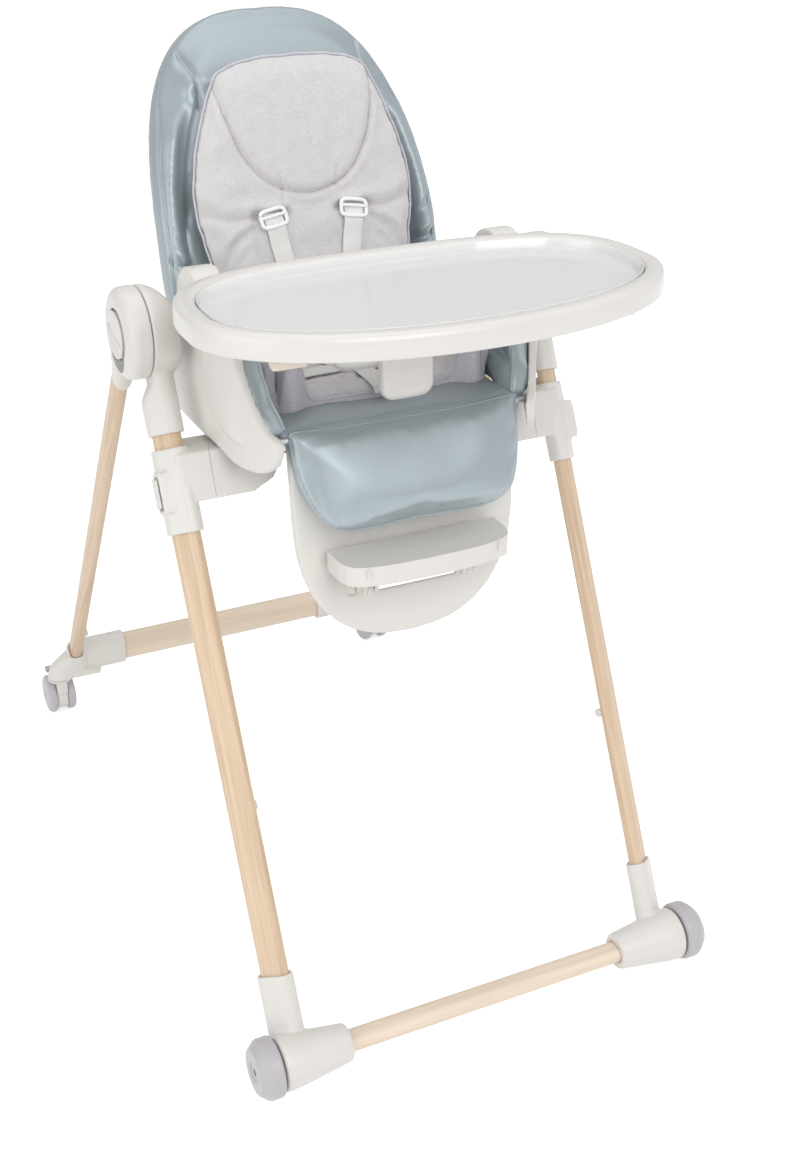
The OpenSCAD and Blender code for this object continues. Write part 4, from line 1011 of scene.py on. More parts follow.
    def liner(self) -> bpy.types.Object:
        """The knitted liner: a pillow with a head panel, seams and dents at the strap slits."""
        outline = self.liner_outline()
        centre = (0.0, 180.0)
        rings = []
        for ring in toward_centre(offset_ring(outline, 40), centre, (0.02, 0.3, 0.6, 0.9, 1.0)):
            rings.append(np.stack([ring[:, 0], np.full(len(ring), self.face - 0.4), ring[:, 1]], axis=1))
        for inset, y in ((37, -12), (28, -19), (18, -27), (10, -33), (4, -37), (1.0, -39), (0.1, -41), (0.8, -43),
                         (3.5, -45.0)):
            ring = offset_ring(outline, inset)
            rings.append(np.stack([ring[:, 0], np.full(len(ring), float(y)), ring[:, 1]], axis=1))
        for ring in toward_centre(offset_ring(outline, 8), centre, np.linspace(1.0, 0.02, 26)):
            rings.append(np.stack([ring[:, 0], self.liner_front(ring, outline), ring[:, 1]], axis=1))
        obj = skin("back_liner_cover", self.frame.to_row(np.stack(rings)))
        frame = self.frame
        sewn(obj, 3.8, 3.0, 5.0, lambda p: smooth((self.face - 3 - frame.to_local(p)[:, 1]) / 8), relax=2, even=3)
        local = self.frame.to_local(vertices(obj))
        flat = local[:, [0, 2]]
        seam = spline(self.head_seam, 90)
        gap = distance_to(flat, seam)
        edge = np.interp(np.abs(flat[:, 0]), seam[45:, 0], seam[45:, 1], right=999)
        inside = smooth((flat[:, 1] - edge) / 6 + 0.5) * (np.abs(flat[:, 0]) < 100)
        ahead = smooth((-24 - local[:, 1]) / 8)
        change = -3.2 * inside * smooth(gap / 14) + 4.0 * hill(gap, 0, 2.2) - 1.3 * hill(gap, 7, 5)
        change += 1.0 * ripple(flat, 52, 11) * (1 - inside) + 0.45 * ripple(flat, 24, 12)
        local[:, 1] += change * ahead
        set_vertices(obj, self.frame.to_row(local))
        folds = [Fold(((-64, 60), (0, 52), (64, 60)), 8.0, 4.0)]
        for sign in (-1, 1):
            slit = sign * self.strap_x
            folds += [
                Fold(((slit - 19, self.slit_at), (slit + 19, self.slit_at)), 4.5, 6.5),
                Fold(((slit - 17, self.slit_at + 9), (slit + 17, self.slit_at + 9)), 6.0, -2.5),
                Fold(((sign * 36, 214), (sign * 33, 198), (sign * 37, 170)), 2.6, 2.4),
                Fold(((sign * 70, 168), (sign * 96, 166), (sign * 128, 176)), 4.5, 3.0),
                Fold(((sign * 76, 182), (sign * 104, 182), (sign * 128, 194)), 8.0, -2.4),
                Fold(((sign * 74, 156), (sign * 98, 140), (sign * 112, 112)), 6.0, 3.0),
                Fold(((sign * 92, 158), (sign * 114, 140), (sign * 126, 118)), 6.0, -2.4),
                Fold(((sign * 84, 132), (sign * 104, 110), (sign * 118, 80)), 6.0, 2.6),
                Fold(((sign * 66, 176), (sign * 70, 140), (sign * 62, 100)), 6.0, 2.0),
            ]
        crease(obj, self.frame, folds, np.array([0, 1, 0]), (0, 2), lambda p: smooth((-24 - p[:, 1]) / 8))
        self.wardrobe.fit(obj, self.wardrobe.jersey, "backrest", "jersey", "back_liner")
        return obj

    def liner_trim(self, liner: bpy.types.Object) -> None:
        """Thin dark cord of painted seam shadow round the head panel, a ruffled edge binding, and bound lips at the
        strap slits.
        """
        w = self.wardrobe
        outline = offset_ring(self.liner_outline(360), -0.6)
        turn = np.arange(360) * 2 * math.pi / 360
        ruffle = 0.9 * np.sin(turn * 31 + 3 * np.sin(turn * 5)) + 0.3 * np.sin(turn * 53)
        depth = -41.5 + 0.9 * np.sin(turn * 29 + 2.5 * np.sin(turn * 7))
        ring = outline + (outline - [0, 180]) / 170 * ruffle[:, None]
        path = self.frame.to_row(np.stack([ring[:, 0], depth, ring[:, 1]], axis=1))
        path = rounded(snap(liner, path, 0.3) * 0.7 + path * 0.3, 2)
        binding = tube("liner_binding", path, 1.35 * MM, 8, closed=True)
        w.fit(binding, w.piping, "backrest", "jersey")
        seam = spline(self.head_seam, 120)[3:-3]
        path = lay_on(liner, self.frame, seam, -150.0, np.array([0, 1, 0]), -0.15, (0, 2))
        # A thin dark cord along the head panel's seam: painted seam shadow.
        cord = tube("head_panel_seam", path, 0.5 * MM, 8)
        w.fit(cord, w.seam, "backrest", "jersey")
        for side in Side:
            a = np.linspace(0, 2 * math.pi, 48, endpoint=False)
            ring = np.stack([side.value * self.strap_x + 18.5 * np.cos(a), self.slit_at + 2.4 * np.sin(a)], axis=1)
            path = lay_on(liner, self.frame, ring, -150.0, np.array([0, 1, 0]), 0.3, (0, 2))
            lip = tube(f"strap_slit_{side.word}", path, 1.1 * MM, 8, closed=True)
            w.fit(lip, w.piping, "backrest", "jersey")

    def shoulder_strap(self, side: Side, liner: bpy.types.Object) -> None:
        """A shoulder strap from its slit through its adjuster and down to the buckle."""
        x = side.value * self.strap_x
        s = np.linspace(self.slit_at - 1, 66, 40)
        lane = np.stack([np.interp(s, [66, self.slit_at], [x * 0.66, x]), s], axis=1)
        upper = lay_on(liner, self.frame, lane, -150.0, np.array([0, 1, 0]), 2.6, (0, 2))
        raised = 4.5 * hill(s, self.slit_at - 4, 13.0)
        upper = self.frame.to_row(self.frame.to_local(upper) - np.stack([0 * s, raised, 0 * s], axis=1))
        inside = self.frame.to_row(np.array([[x, -41.0, self.slit_at + 3.6], [x, -48.0, self.slit_at + 1.8]]))
        low = self.seat.to_row(np.array([[side.value * 30, 18, -58], [side.value * 24, -6, -64],
                                         [side.value * 14, -19, -66]], dtype=float))
        knots = np.vstack([inside, upper[::6], low])
        path = spline(knots, 150)
        name = f"shoulder_webbing_{side.word}"
        strap = ribbon(name, path, np.tile([1.0, 0.0, 0.0], (len(path), 1)), 23.5 * MM, 1.7 * MM)
        self.wardrobe.dress(strap, self.wardrobe.webbing)
        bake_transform(strap)
        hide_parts(f"shoulder_strap_{side.word}")
        self.adjuster(side, path)

    def adjuster(self, side: Side, path: Array) -> None:
        """A rounded slide buckle: two window frames as one loop and a middle bar, lying on the strap."""
        run = np.concatenate([[0], np.cumsum(np.linalg.norm(np.diff(path, axis=0), axis=1))])
        at = np.array([np.interp(0.023, run, path[:, k]) for k in range(3)])
        ahead = np.array([np.interp(0.036, run, path[:, k]) for k in range(3)])
        down = (ahead - at) / np.linalg.norm(ahead - at)
        across = np.array([1.0, 0.0, 0.0]) - down[0] * down
        across /= np.linalg.norm(across)
        out = np.cross(across, down)
        out *= -1 if out[1] > 0 else 1
        a = np.linspace(0, 2 * math.pi, 72, endpoint=False)
        power = 2 / 4.5
        u = 15.6 * np.sign(np.cos(a)) * np.abs(np.cos(a)) ** power
        v = 9.8 * np.sign(np.sin(a)) * np.abs(np.sin(a)) ** power
        bow = 1.2 * (u / 15.6) ** 2
        loop = at + (across * u[:, None] + down * v[:, None] + out * (2.4 - bow)[:, None]) * MM
        t = np.linspace(-14.5, 14.5, 20)[:, None]
        bar = at + (across * t - down * 2.2 + out * 2.6) * MM
        w = self.wardrobe
        for name, line, r, closed in ((f"strap_slide_{side.word}", loop, 2.3, True),
                                      (f"strap_bar_{side.word}", bar, 2.0, False)):
            piece = tube(name, line, r * MM, 12, closed=closed)
            w.fit(piece, w.slide_white, "backrest", "white_plastic", "strap_adjusters")


# ------------------------------------------------------------------ the seat


@dataclass
class Seat:
    """Seat cushion, side bolsters, knitted seat liner, crotch and lap straps and the buckle.

    The frame's origin is on the hub axis; -Y is the front.
    """

    wardrobe: Wardrobe
    nodes: dict[str, bpy.types.Object]
    frame: Frame
    top: float = -84.0
    front: float = -140.0
    shell_out: float = 197.0
    shell_arc: float = 215.0
    shell_arc_y: float = -39.0

    def build(self) -> None:
        """Builds the seat's soft pieces."""
        self.cushion()
        for side in Side:
            self.bolster(side)
        self.liner()
        self.straps()
        self.buckle()

    def declare(self, obj: bpy.types.Object, node: str) -> None:
        """Rides a padded piece of the seat on the seat body and hides the node it stands for."""
        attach(obj, "seat")
        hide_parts(node)

    def cushion(self) -> None:
        """The seat cushion: crowned on top, flat on the tub, its front drawn out to the calf pad's upper seam."""
        obj = copy_of(self.nodes["seat_pad"], "seat_cushion")
        frame = self.frame
        sewn(obj, 4.2, 3.0, 4.0, lambda p: smooth((frame.to_local(p)[:, 2] + 108) / 8), relax=4)
        local = self.frame.to_local(vertices(obj))
        flat = local[:, [0, 1]]
        ahead = smooth((local[:, 2] + 104) / 8)
        out = smooth((-92 - local[:, 1]) / 46)
        side = smooth((np.abs(local[:, 0]) - 112) / 20)
        local[:, 2] += ahead * (0.9 * ripple(flat, 60, 21) + 0.5 * out + 3.5 * side)
        local[:, 1] -= 17.5 * out * smooth((local[:, 2] + 108) / 16)
        local[:, 0] += np.sign(local[:, 0]) * (4.0 + 7.0 * out) * side * smooth((-20 - local[:, 1]) / 40)
        set_vertices(obj, self.frame.to_row(local))
        self.wardrobe.dress(obj, self.wardrobe.coated)
        self.declare(obj, "seat_pad")

    def bolster(self, side: Side) -> None:
        """A side bolster that follows the shell's curve, with a welt along its front edge."""
        node = f"side_bolster_{side.word}"
        obj = copy_of(self.nodes[node], f"bolster_cover_{side.word}")
        frame = self.frame
        outer = self.shell_out - 12

        def free(points: Array) -> Array:
            """The face towards the child is free; the face on the shell stays."""
            local = frame.to_local(points)
            centre = self.shell_out - self.shell_arc
            reach = np.where(local[:, 1] < self.shell_arc_y,
                             np.hypot(np.abs(local[:, 0]) - centre, local[:, 1] - self.shell_arc_y) + centre,
                             np.abs(local[:, 0]))
            return smooth((outer - reach) / 8) * smooth((local[:, 2] - self.top - 1) / 6)

        sewn(obj, 3.6, 3.0, 3.0, free, relax=4)
        local = self.frame.to_local(vertices(obj))
        flat = local[:, [1, 2]]
        inner = smooth((165 - np.abs(local[:, 0])) / 8)
        local[:, 0] += side.value * inner * (1.2 * ripple(flat, 44, 31) + 2.2 * hill(local[:, 2], -58.0, 4.0))
        tip = smooth((-56 - local[:, 2]) / 24) * smooth((-84 - local[:, 1]) / 44)
        local[:, 2] -= 11.0 * tip
        local[:, 1] -= 5.0 * tip
        local[:, 0] -= side.value * 6.0 * tip * (np.abs(local[:, 0]) < 160)
        set_vertices(obj, self.frame.to_row(local))
        self.wardrobe.dress(obj, self.wardrobe.coated)
        self.declare(obj, node)
        z = np.array([11.0, -4, -20, -34, -48, -62, -82])
        y = np.array([-110.5, -115.5, -120.5, -124.5, -128.5, -135.5, -147.5])
        centre = self.shell_out - self.shell_arc
        x = centre + np.sqrt((self.shell_arc - 27.5) ** 2 - (y - self.shell_arc_y) ** 2)
        path = spline(np.stack([side.value * x, y - 0.4, z], axis=1), 60)
        seat_line = snap(obj, self.frame.to_row(path), 0.4)
        welt = tube(f"bolster_welt_{side.word}", rounded(seat_line, 4, closed=False), 1.6 * MM, 10)
        self.wardrobe.fit(welt, self.wardrobe.coated, "seat", "leatherette")

    def liner(self) -> None:
        """The seat liner: a quilted pad between two thick wings; it ends well behind the cushion's front."""
        obj = copy_of(self.nodes["seat_liner"], "seat_liner_cover")
        frame = self.frame
        sewn(obj, 3.4, 3.0, 4.0, lambda p: smooth((frame.to_local(p)[:, 2] - self.top - 1.5) / 5), relax=4)
        local = self.frame.to_local(vertices(obj))
        x, y, z = local[:, 0], local[:, 1], local[:, 2]
        flat = local[:, [0, 1]]
        above = smooth((z - self.top - 4) / 6)
        wing = smooth((np.abs(x) - 112) / 10)
        local[:, 2] += above * (1 - wing) * (1.6 * ripple(flat, 58, 41) + 0.7 * ripple(flat, 27, 42))
        local[:, 2] -= above * 3.0 * hill(distance_to(flat, np.array([[-34.0, -140.0], [-30.0, -60.0]])), 0, 5)
        local[:, 2] -= above * 3.0 * hill(distance_to(flat, np.array([[96.0, -134.0], [60.0, -90.0]])), 0, 5)
        local[:, 0] += wing * np.sign(x) * 1.6 * ripple(local[:, [1, 2]], 40, 43) * smooth((z - self.top - 14) / 10)
        rise = 40 * smooth((np.abs(x) - 84) / 13) * (1 - smooth((np.abs(x) - 117) / 8))
        local[:, 2] += rise * np.clip((z - self.top) / 10, 0, 1) * (z < self.top + 18)
        local[:, 1] = np.where(y < -40, -40 + (y + 40) * (0.58 + 0.14 * smooth((np.abs(x) - 84) / 30)), y)
        local[:, 1] -= 3.0 * smooth((-85 - local[:, 1]) / 20) * np.cos(x / 30.0)
        set_vertices(obj, self.frame.to_row(local))
        w = self.wardrobe
        w.dress(obj, w.flat_jersey)
        origin = np.asarray(self.frame.origin)
        paint_faces(obj, w.piping, lambda c, n: (n[:, 1] < -0.55)
                    | ((np.abs(n[:, 0]) > 0.6) & (np.abs(c[:, 0]) > 0.131))
                    | ((n[:, 2] < -0.3) & (c[:, 2] < origin[2] - 0.079)))
        self.declare(obj, "seat_liner")
        for side in Side:
            s = side.value
            knots = np.array([[s * 128, 20, -27], [s * 126, -30, -25], [s * 122, -78, -27], [s * 104, -103, -33],
                              [s * 94, -106, -40], [s * 88.5, -106, -52], [s * 85, -105.5, -64], [s * 80, -104, -71.5],
                              [s * 66, -102.5, -73.5], [s * 36, -101.5, -73.5], [0, -101, -73.5]], dtype=float)
            path = spline(knots, 140)
            seam = rounded(snap(obj, self.frame.to_row(path), 0.2), 6, closed=False)
            cord = tube(f"seat_liner_piping_{side.word}", seam, 1.4 * MM, 10)
            w.fit(cord, w.piping, "seat", "jersey")

    def straps(self) -> None:
        """Crotch strap and lap straps, bowed over the liner to the buckle."""
        w = self.wardrobe
        runs = {
            "crotch_webbing": (((0, -104, -74), (0, -96, -68), (0, -76, -66), (0, -56, -65.5), (0, -44, -66)),
                               (1, 0, 0),
                               "crotch_strap"),
        }
        for side in Side:
            s = side.value
            runs[f"lap_webbing_{side.word}"] = (
                ((s * 125, -6, -58), (s * 112, -16, -66), (s * 84, -26, -68), (s * 54, -28, -66.5),
                 (s * 22, -28, -66.5)),
                (0, 1, 0), "lap_straps")
        for name, (knots, across, node) in runs.items():
            path = spline(np.asarray(knots, dtype=float), 60)
            strap = ribbon(name, self.frame.to_row(path), np.tile(np.asarray(across, dtype=float), (60, 1)),
                           23.5 * MM, 1.7 * MM)
            w.fit(strap, w.webbing, "seat", "webbing", node)

    def buckle(self) -> None:
        """The buckle: a crowned pebble with a round release button in its middle."""
        w = self.wardrobe
        a = np.linspace(0, 2 * math.pi, 96, endpoint=False)
        for name, half_x, half_y, power, low, high, material in (
            ("buckle_body", 27.0, 20.0, 3.4, -68.4, -59.6, w.slide_white),
            ("buckle_button", 9.0, 9.0, 2.0, -62.0, -57.8, w.grey),
        ):
            e = 2 / power
            ring = np.stack([half_x * np.sign(np.cos(a)) * np.abs(np.cos(a)) ** e,
                             -28 + half_y * np.sign(np.sin(a)) * np.abs(np.sin(a)) ** e], axis=1)
            rows = []
            for share, height in ((0.1, 0), (0.8, 0), (0.94, 0.05), (1, 0.25), (1, 0.6), (0.97, 0.8), (0.9, 0.93),
                                  (0.7, 1.0), (0.35, 1.04), (0.05, 1.05)):
                flat = np.array([0, -28]) + (ring - [0, -28]) * share
                rows.append(np.column_stack([flat, np.full(96, low + (high - low) * height)]))
            piece = skin(name, self.frame.to_row(np.stack(rows)))
            w.fit(piece, material, "seat", "white_plastic", "harness_buckle")


# ------------------------------------------------------------------ the leg rest


@dataclass
class LegRest:
    """Calf cushion: a wedge pillow, pinched along its upper seam and full at its round lower corners.

    X runs across, Z up along the leg rest from its hinge, and -Y out of its front.
    """

    wardrobe: Wardrobe
    nodes: dict[str, bpy.types.Object]
    frame: Frame
    edge: tuple = ((0, -106), (60, -105.5), (86, -103.5), (103, -98), (117, -86), (126, -70), (132.5, -52), (137, -32),
                   (139.5, -12), (141, 2), (140, 8), (130, 9.5), (70, 10), (0, 10))
    full: float = 31.0

    def outline(self, count: int = 300) -> Array:
        """The pillow's closed outline."""
        half = spline(self.edge, 160)
        return rounded(resample(np.vstack([half, (half * [-1, 1])[-2:0:-1]]), count, closed=True), 3)

    def seam_depth(self, s: Array) -> Array:
        """Depth of the front's edge seam: nothing at the top, full at the lower edge."""
        return -self.full * np.clip((9 - s) / 97, 0, 1) ** 1.5 - 4.5

    def build(self) -> None:
        """Builds the calf cushion and the cord along its seam."""
        outline = self.outline()
        centre = (0.0, -50.0)
        rear = float(self.frame.to_local(vertices(self.nodes["calf_pad"]))[:, 1].max()) - 0.2
        rings = []
        for ring in toward_centre(offset_ring(outline, 7), centre, (0.02, 0.3, 0.6, 0.85, 1.0)):
            rings.append(np.stack([ring[:, 0], np.full(len(ring), rear), ring[:, 1]], axis=1))
        for inset, share in ((4, 0.1), (2, 0.3), (1.2, 0.5), (0.8, 0.7), (0.4, 0.9), (0.3, 1.0)):
            ring = offset_ring(outline, inset)
            y = rear + (self.seam_depth(ring[:, 1]) - rear) * share
            rings.append(np.stack([ring[:, 0], y, ring[:, 1]], axis=1))
        for ring in [offset_ring(outline, inset) for inset in (2, 4.5, 8, 12, 17, 23)] + list(
                toward_centre(offset_ring(outline, 28), centre, np.linspace(1.0, 0.02, 22))):
            d = distance_to(ring, np.vstack([outline, outline[:1]]))
            y = self.seam_depth(ring[:, 1]) - 10.0 * (1 - np.exp(-d / 13)) - 6.0 * smooth(d / 55)
            rings.append(np.stack([ring[:, 0], y, ring[:, 1]], axis=1))
        obj = skin("calf_cushion", self.frame.to_row(np.stack(rings)))
        frame = self.frame
        sewn(obj, 3.8, 3.5, 6.0, lambda p: smooth((rear - 3 - frame.to_local(p)[:, 1]) / 8), relax=3, even=12)
        local = self.frame.to_local(vertices(obj))
        flat = local[:, [0, 2]]
        d = distance_to(flat, np.vstack([outline, outline[:1]]))
        ahead = smooth((self.seam_depth(flat[:, 1]) + 5 - local[:, 1]) / 5)
        low = smooth((-40 - flat[:, 1]) / 40)
        local[:, 1] += ahead * (1.6 * hill(d, 1.5, 2.2) * low + 0.4 * ripple(flat, 80, 51) + 0.8 * ripple(flat, 26, 52)
                                * hill(d, 8, 9))
        set_vertices(obj, self.frame.to_row(local))
        self.wardrobe.fit(obj, self.wardrobe.coated, "legrest", "leatherette", "calf_pad")
        ring = offset_ring(outline, -0.4)
        path = self.frame.to_row(np.stack([ring[:, 0], self.seam_depth(ring[:, 1]) - 0.5, ring[:, 1]], axis=1))
        cord = tube("calf_cushion_piping", rounded(snap(obj, path, 0.2), 4), 1.1 * MM, 8, closed=True)
        self.wardrobe.fit(cord, self.wardrobe.coated, "legrest", "leatherette")


# ------------------------------------------------------------------ the tray


@dataclass
class Tray:
    """Tray with a soft rolled rim, crotch post and runners, and the clear insert in its basin.

    The frame's origin is on the tray's widest line, level with the top of its rim.
    """

    wardrobe: Wardrobe
    frame: Frame
    half: float = 261.0
    front: float = 138.0
    back: float = 150.0
    rim_width: float = 22.0
    rim_high: float = 26.0
    basin: float = 14.0
    wall: float = 3.2
    columns: int = 256

    def ring(self, inset: float, z: float) -> Array:
        """A ring of the D-shaped outline: an oval of power 2.05 in front and of power 3.2 behind."""
        w = np.linspace(0, 2 * math.pi, self.columns, endpoint=False)
        c, s = np.cos(w), np.sin(w)
        n = 2 / (2.05 + 1.15 * smooth((s + 0.12) / 0.24))
        x = (self.half - inset) * np.sign(c) * np.abs(c) ** n
        y = np.where(s < 0, self.front - inset, self.back - inset) * np.sign(s) * np.abs(s) ** n
        return np.stack([x, y, np.full_like(x, z)], axis=1)

    def loop(self, profile: Sequence[tuple[float, float]], floors: tuple[float, float]) -> Array:
        """Rings along a profile of (inset, height), closed to the middle at both ends."""
        rings = [self.ring(inset, z) for inset, z in profile]
        first, last = rings[0], rings[-1]
        shares = np.linspace(0.03, 0.93, 8)
        inner = [np.column_stack([first[:, :2] * share, np.full(len(first), floors[0])]) for share in shares]
        outer = [np.column_stack([last[:, :2] * share, np.full(len(last), floors[1])]) for share in shares[::-1]]
        return np.stack(inner + rings + outer)

    def build(self) -> None:
        """Builds the tray, its post and runners, and the insert."""
        w = self.wardrobe
        r, h, t, b = self.rim_width, self.rim_high, self.wall, self.basin
        profile = [(r + 3, -b - t), (r - 1, -b - t + 0.6), (r - t, -b - t + 4), (r - t, -t - 3), (r - t - 2, -t),
                   (t + 3, -t), (t, -t - 3), (t, -h + 1), (t - 0.4, -h + 0.2), (t - 1.2, -h), (1.4, -h),
                   (0.5, -h + 0.4), (0.05, -h + 1.4), (0, -h + 4), (0, -14), (0.3, -8), (1.2, -4.4), (2.8, -2.1),
                   (5.2, -0.6), (8.2, 0), (12, 0.1), (15.5, -0.3), (18.5, -1.3),
                   (20.6, -3), (21.6, -5.4), (22, -8), (22.3, -b + 2.4), (23.4, -b + 0.7), (25.4, -b)]
        tray = skin("tray_shell", self.frame.to_row(self.loop(profile, (-b - t, -b))))
        pieces = [tray, self.post()] + [self.runner(side, n, x) for side in Side for n, x in ((1, 172.5), (2, 189.5))]
        for piece in pieces:
            w.fit(piece, w.tray_white, "tray", "white_plastic", "tray")
        low = 0.35 - b
        profile = [(r + 3.4, low), (r + 1.3, low + 0.5), (r + 0.6, low + 2), (r + 0.5, -3.2), (r + 0.1, -1.6),
                   (r + 0.3, -1.2), (r + 1.3, -1.2), (r + 1.9, -1.9), (r + 2.4, low + 4), (r + 3.6, low + 2.3),
                   (r + 5.6, low + 1.8)]
        insert = skin("tray_insert_sheet", self.frame.to_row(self.loop(profile, (low, low + 1.8))))
        w.fit(insert, w.clear, "tray_insert", "clear_plastic", "tray_insert")

    def post(self) -> bpy.types.Object:
        """The crotch post: an oval blade that ends in a half-round edge."""
        a = np.linspace(0, 2 * math.pi, 96, endpoint=False)
        x = np.sign(np.cos(a)) * np.abs(np.cos(a)) ** (2 / 4.2)
        y = np.sign(np.sin(a)) * np.abs(np.sin(a)) ** (2 / 3.2)
        low, high, bend = -144.0, -16.5, 15.0
        rows = []
        for angle in np.linspace(0.02, math.pi / 2, 14):
            shrink = bend * (1 - math.sin(angle))
            level = np.full(96, low + bend * (1 - math.cos(angle)))
            rows.append(np.stack([x * (31 - shrink), 65 + y * (11 - shrink * 0.55), level], axis=1))
        for share in np.linspace(0.04, 1, 12):
            flare = 4.0 * smooth((share - 0.9) / 0.1)
            level = np.full(96, low + bend + (high - low - bend) * share)
            rows.append(np.stack([x * (31 + flare), 65 + y * (11 + flare), level], axis=1))
        return skin("tray_post", self.frame.to_row(np.stack(rows)))

    def runner(self, side: Side, number: int, x: float) -> bpy.types.Object:
        """One wall of a channel that rides on an armrest."""
        a = np.linspace(0, 2 * math.pi, 64, endpoint=False)
        u = 2.0 * np.sign(np.cos(a)) * np.abs(np.cos(a)) ** 0.5
        v = 52.0 * np.sign(np.sin(a)) * np.abs(np.sin(a)) ** 0.12
        rows = [np.stack([side.value * x + u * k, 72 + v * (1 - (1 - k) * 0.04), np.full(64, z)], axis=1)
                for k, z in ((0.3, -41.6), (0.8, -41.2), (1, -40), (1, -30), (1, -17.1))]
        return skin(f"tray_runner_{side.word}_{number}", self.frame.to_row(np.stack(rows)))


# ------------------------------------------------------------------ castings


@dataclass
class Castings:
    """The moulded parts whose corners flow into each other: hubs, feet, sleeves, side shells and caster forks.

    Each is the frame's own solid, remeshed in small cells and relaxed, so that every inner corner gets a
    fillet and every edge a soft round.
    """

    wardrobe: Wardrobe
    nodes: dict[str, bpy.types.Object]
    bodies: dict[str, str]
    cells: dict[str, tuple[float, int]] = field(default_factory=lambda: {
        "front_hub": (1.6, 9), "rear_hub": (1.6, 7), "front_foot": (1.5, 10), "rear_foot": (1.3, 8),
        "slider": (1.5, 8), "side_shell": (1.9, 10), "caster_fork": (1.0, 6), "tray_latch": (0.9, 5),
        "hub_button": (0.8, 4), "slider_button": (0.7, 9),
    })
    middle_cells: dict[str, tuple[float, int]] = field(default_factory=lambda: {
        "back_shell": (2.05, 5), "legrest_panel": (1.4, 6), "recline_handle": (0.9, 5),
    })
    hub: Frame = Frame((0.0, 0.0, 0.0))
    leg: Frame = Frame((0.0, 0.0, 0.0))
    split: float = 257.3
    hub_radius: float = 51.0
    finger_radius: float = 28.9
    ridge_depth: float = 273.5
    band_rise: float = 3.0
    valley_depth: float = 2.0
    armrest_dome: float = 9.0
    button_taper: float = 2.0
    button_lift: float = 1.1
    shell_edge: tuple = ((-64, 34), (-68, -6), (-70, -52), (-87, -82), (-116, -98), (-158, -103))
    bracket_line: tuple = ((-201, -88, -108), (-201, -88, -172))

    def build(self) -> None:
        """Builds every casting."""
        for stem, (cell, passes) in self.cells.items():
            for side in Side:
                obj = self.relaxed(f"{stem}_{side.word}", cell, passes)
                if stem.endswith("hub"):
                    self.keep_split(obj, self.nodes[f"{stem}_{side.word}"])
                if stem == "rear_hub":
                    self.hub_details(side)
                elif stem == "side_shell":
                    self.shell_band(obj, side)
                elif stem == "slider":
                    self.bracket_seam(obj, side)
                elif stem in ("hub_button", "slider_button"):
                    self.slack(obj)
        for node, (cell, passes) in self.middle_cells.items():
            obj = self.relaxed(node, cell, passes)
            if node == "legrest_panel":
                local = self.leg.to_local(vertices(obj))
                top = local[:, 2] > -14
                local[:, 1] = np.where(top, np.maximum(local[:, 1], -5.0), local[:, 1])
                local[:, 2] = np.where(top, np.minimum(local[:, 2], 4.2), local[:, 2])
                set_vertices(obj, self.leg.to_row(local))

    def keep_split(self, obj: bpy.types.Object, node: bpy.types.Object) -> None:
        """Puts back the crisp edge where the hub's two halves meet, so that only a hairline shows."""
        points = [tuple(node.matrix_world @ v.co) for v in node.data.vertices]
        tree = BVHTree.FromPolygons(points, [tuple(p.vertices) for p in node.data.polygons])
        local = self.hub.to_local(vertices(obj))
        radius = np.hypot(local[:, 1], local[:, 2])
        along = np.abs(local[:, 0]) - self.split
        gap = np.hypot(along, radius - self.hub_radius)
        for i in np.nonzero((gap < 9.0) & (radius < self.hub_radius + 0.5))[0]:
            share = float(smooth((9.0 - gap[i]) / 4.0))
            near = self.hub.to_local(np.array(tree.find_nearest(Vector(self.hub.to_row(local[i])))[0]))
            local[i] += (near - local[i]) * share
        radius = np.hypot(local[:, 1], local[:, 2])
        corner = (np.abs(np.abs(local[:, 0]) - self.split) < 1.9) & (np.abs(radius - self.hub_radius) < 1.9)
        scale = np.where(corner, self.hub_radius / np.maximum(radius, 1e-6), 1.0)
        radius = radius * scale
        turn = np.degrees(np.arctan2(-local[:, 1], -local[:, 2]))
        away = smooth((np.abs(turn - 24) - 42) / 34)
        inner = np.clip((243 - np.abs(local[:, 0])) / 34, 0, 1)
        limit = self.hub_radius * (1 - 0.42 * inner**2.0)
        scale *= np.where(radius > limit, 1 + (limit / np.maximum(radius, 1e-6) - 1) * away, 1.0)
        local[:, 1] *= scale
        local[:, 2] *= scale
        set_vertices(obj, self.hub.to_row(local))

    def hub_details(self, side: Side) -> None:
        """The washer between a hub's halves, a dark sheet of painted shade in the finger gap below its button, and the
        button's ridge.
        """
        w, s = self.wardrobe, side.value
        a = np.linspace(0, 2 * math.pi, 120, endpoint=False)
        r = self.hub_radius - 1.15
        rim = np.stack([np.full(120, s * self.split), r * np.cos(a), r * np.sin(a)], axis=1)
        washer = tube(f"hub_washer_{side.word}", self.hub.to_row(rim), 1.05 * MM, 10, closed=True)
        t = np.linspace(0, 1, 40)
        sweep = np.radians(-142 + 104 * t)
        inner = np.stack([self.finger_radius * np.cos(sweep), self.finger_radius * np.sin(sweep)], axis=1)
        outer = inner * (1 + 0.46 * np.sin(t * math.pi) ** 0.8)[:, None]
        rows = [inner * (1 - k) + outer * k for k in np.linspace(0, 1, 7)]
        face = self.face_depth(np.linalg.norm(np.stack(rows), axis=2)) + 0.12
        grid = np.stack([s * face, np.stack(rows)[..., 0], np.stack(rows)[..., 1]], axis=-1)
